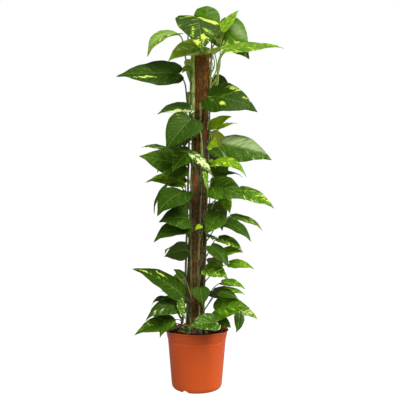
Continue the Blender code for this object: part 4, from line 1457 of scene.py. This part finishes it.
def make_crumbs(finish):
    """Strew the soil with crumbs and shreds of bark."""
    build = Build()
    draw = random.Random(12)
    reach = BODY_TOP_RADIUS - 0.0005
    base = bmesh.new()
    bmesh.ops.create_icosphere(base, subdivisions=1, radius=1.0)
    base.verts.ensure_lookup_table()
    shape = [vertex.co.copy() for vertex in base.verts]
    faces = [tuple(vertex.index for vertex in face.verts) for face in base.faces]
    base.free()
    for _ in range(CRUMBS):
        radius = reach * math.sqrt(draw.random())
        angle = draw.uniform(0, math.tau)
        size = draw.choice(CRUMB_SIZES) * MM
        spot = min(radius, reach - size) * around(angle)
        spot.z = SOIL_EDGE + (SOIL_TOP - SOIL_EDGE) * (1 - (radius / reach) ** 2)
        spot.z += size * draw.uniform(-0.1, 0.5)
        turn = Matrix.Rotation(draw.uniform(0, math.tau), 3, (draw.random(), draw.random(), 1))
        stretch = Vector((size * draw.uniform(0.6, 1.7), size, size * draw.uniform(0.5, 0.9)))
        points = [spot + turn @ (corner * stretch * draw.uniform(0.75, 1.2)) for corner in shape]
        build.add(points, faces)
    made = build.piece("soil_crumbs", finish, smooth=False)
    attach(made, "root")


def dress_nodes(soil, wood):
    for name, finish in (("soil", soil), ("pole_core", wood)):
        mesh = frame["nodes"][name].data
        mesh.materials.clear()
        mesh.materials.append(finish)


ROOM_LIGHT = 0.12
ROOM_MIRRORED = 0.15
KEY_LIGHT = 3.5
KEY_SPREAD = math.radians(40)
KEY_FROM = (0.55, -0.90, 1.15)
FLOOR_BOUNCE = 0.15
FLOOR_SEEN = 0.96
FLOOR_HALF = 30.0
SENSOR_WIDTH = 36.0

# Area lights: name, place, what it faces, width and height in metres, watts.
AREA_LIGHTS = (
    ("top_panel", (0.5, -0.5, 3.1), (0, 0, 0.9), 2.0, 2.0, 9),
    ("right_strip", (2.6, 0.7, 0.7), (0, 0, 0.5), 0.45, 2.6, 75),
    ("left_fill", (-2.2, -0.9, 0.5), (0, 0, 0.2), 0.9, 0.9, 10),
    ("left_strip", (-1.45, -2.6, 0.9), (0, 0, 0.5), 0.14, 2.0, 16),
)


def make_camera():
    camera = put("camera", bpy.data.cameras.new("camera"))
    camera.data.lens = LENS
    camera.data.sensor_width = SENSOR_WIDTH
    camera.location = EYE
    camera.rotation_euler = (math.pi / 2 + EYE_PITCH, 0.0, 0.0)
    bpy.context.scene.camera = camera


def make_world():
    """Show the camera a white room, light the plant with a dimmer one and mirror less of it."""
    world = bpy.data.worlds.new("studio")
    bpy.context.scene.world = world
    world.use_nodes = True
    tree = world.node_tree
    seen = tree.nodes.new("ShaderNodeLightPath")
    product = tree.nodes.new("ShaderNodeMath")
    product.operation = "MULTIPLY"
    rays = (("Is Camera Ray", ROOM_LIGHT, 1.0), ("Is Glossy Ray", 1.0, ROOM_MIRRORED))
    for slot, (ray, otherwise, strength) in enumerate(rays):
        share = tree.nodes.new("ShaderNodeMapRange")
        share.inputs["To Min"].default_value = otherwise
        share.inputs["To Max"].default_value = strength
        tree.links.new(seen.outputs[ray], share.inputs["Value"])
        tree.links.new(share.outputs["Result"], product.inputs[slot])
    background = tree.nodes["Background"]
    background.inputs["Color"].default_value = rgb(1.0, 1.0, 1.0)
    tree.links.new(product.outputs["Value"], background.inputs["Strength"])


def make_studio():
    """Set a white floor, a soft sun from the front right, a top panel, two strips and a fill."""
    sun = bpy.data.lights.new("key", "SUN")
    sun.energy = KEY_LIGHT
    sun.angle = KEY_SPREAD
    put("key", sun).rotation_euler = Vector(KEY_FROM).to_track_quat("Z", "Y").to_euler()
    for name, place, target, width, height, power in AREA_LIGHTS:
        light = bpy.data.lights.new(name, "AREA")
        light.shape = "RECTANGLE"
        light.size = width
        light.size_y = height
        light.energy = power
        made = put(name, light)
        made.location = place
        facing = Vector(target) - Vector(place)
        made.rotation_euler = facing.to_track_quat("-Z", "Y").to_euler()
    floor = Finish("studio_floor")
    seen = floor.add("ShaderNodeLightPath", "Is Camera Ray", {})
    glow = floor.step(seen, 0.0, 1.0, FLOOR_BOUNCE, FLOOR_SEEN)
    floor.set(Base_Color=rgb(0.13, 0.13, 0.13), Roughness=1.0, Specular_IOR_Level=0.0,
              Emission_Color=rgb(1.0, 1.0, 1.0), Emission_Strength=glow)
    mesh = bpy.data.meshes.new("floor")
    signs = ((-1, -1), (1, -1), (1, 1), (-1, 1))
    mesh.from_pydata([(x * FLOOR_HALF, y * FLOOR_HALF, 0) for x, y in signs], [], [(0, 1, 2, 3)])
    mesh.materials.append(floor.material)
    put("floor", mesh)
    bpy.context.scene.view_settings.view_transform = "Standard"


make_camera()
make_world()
make_studio()
make_vines(arrange_leaves())
make_roots(root_finish(), young_root_finish())
make_sleeve(coir_finish())
make_fibres(fibre_finish())
soil_look = soil_finish()
make_pot(pot_finish())
make_crumbs(soil_look)
dress_nodes(soil_look, wood_finish())
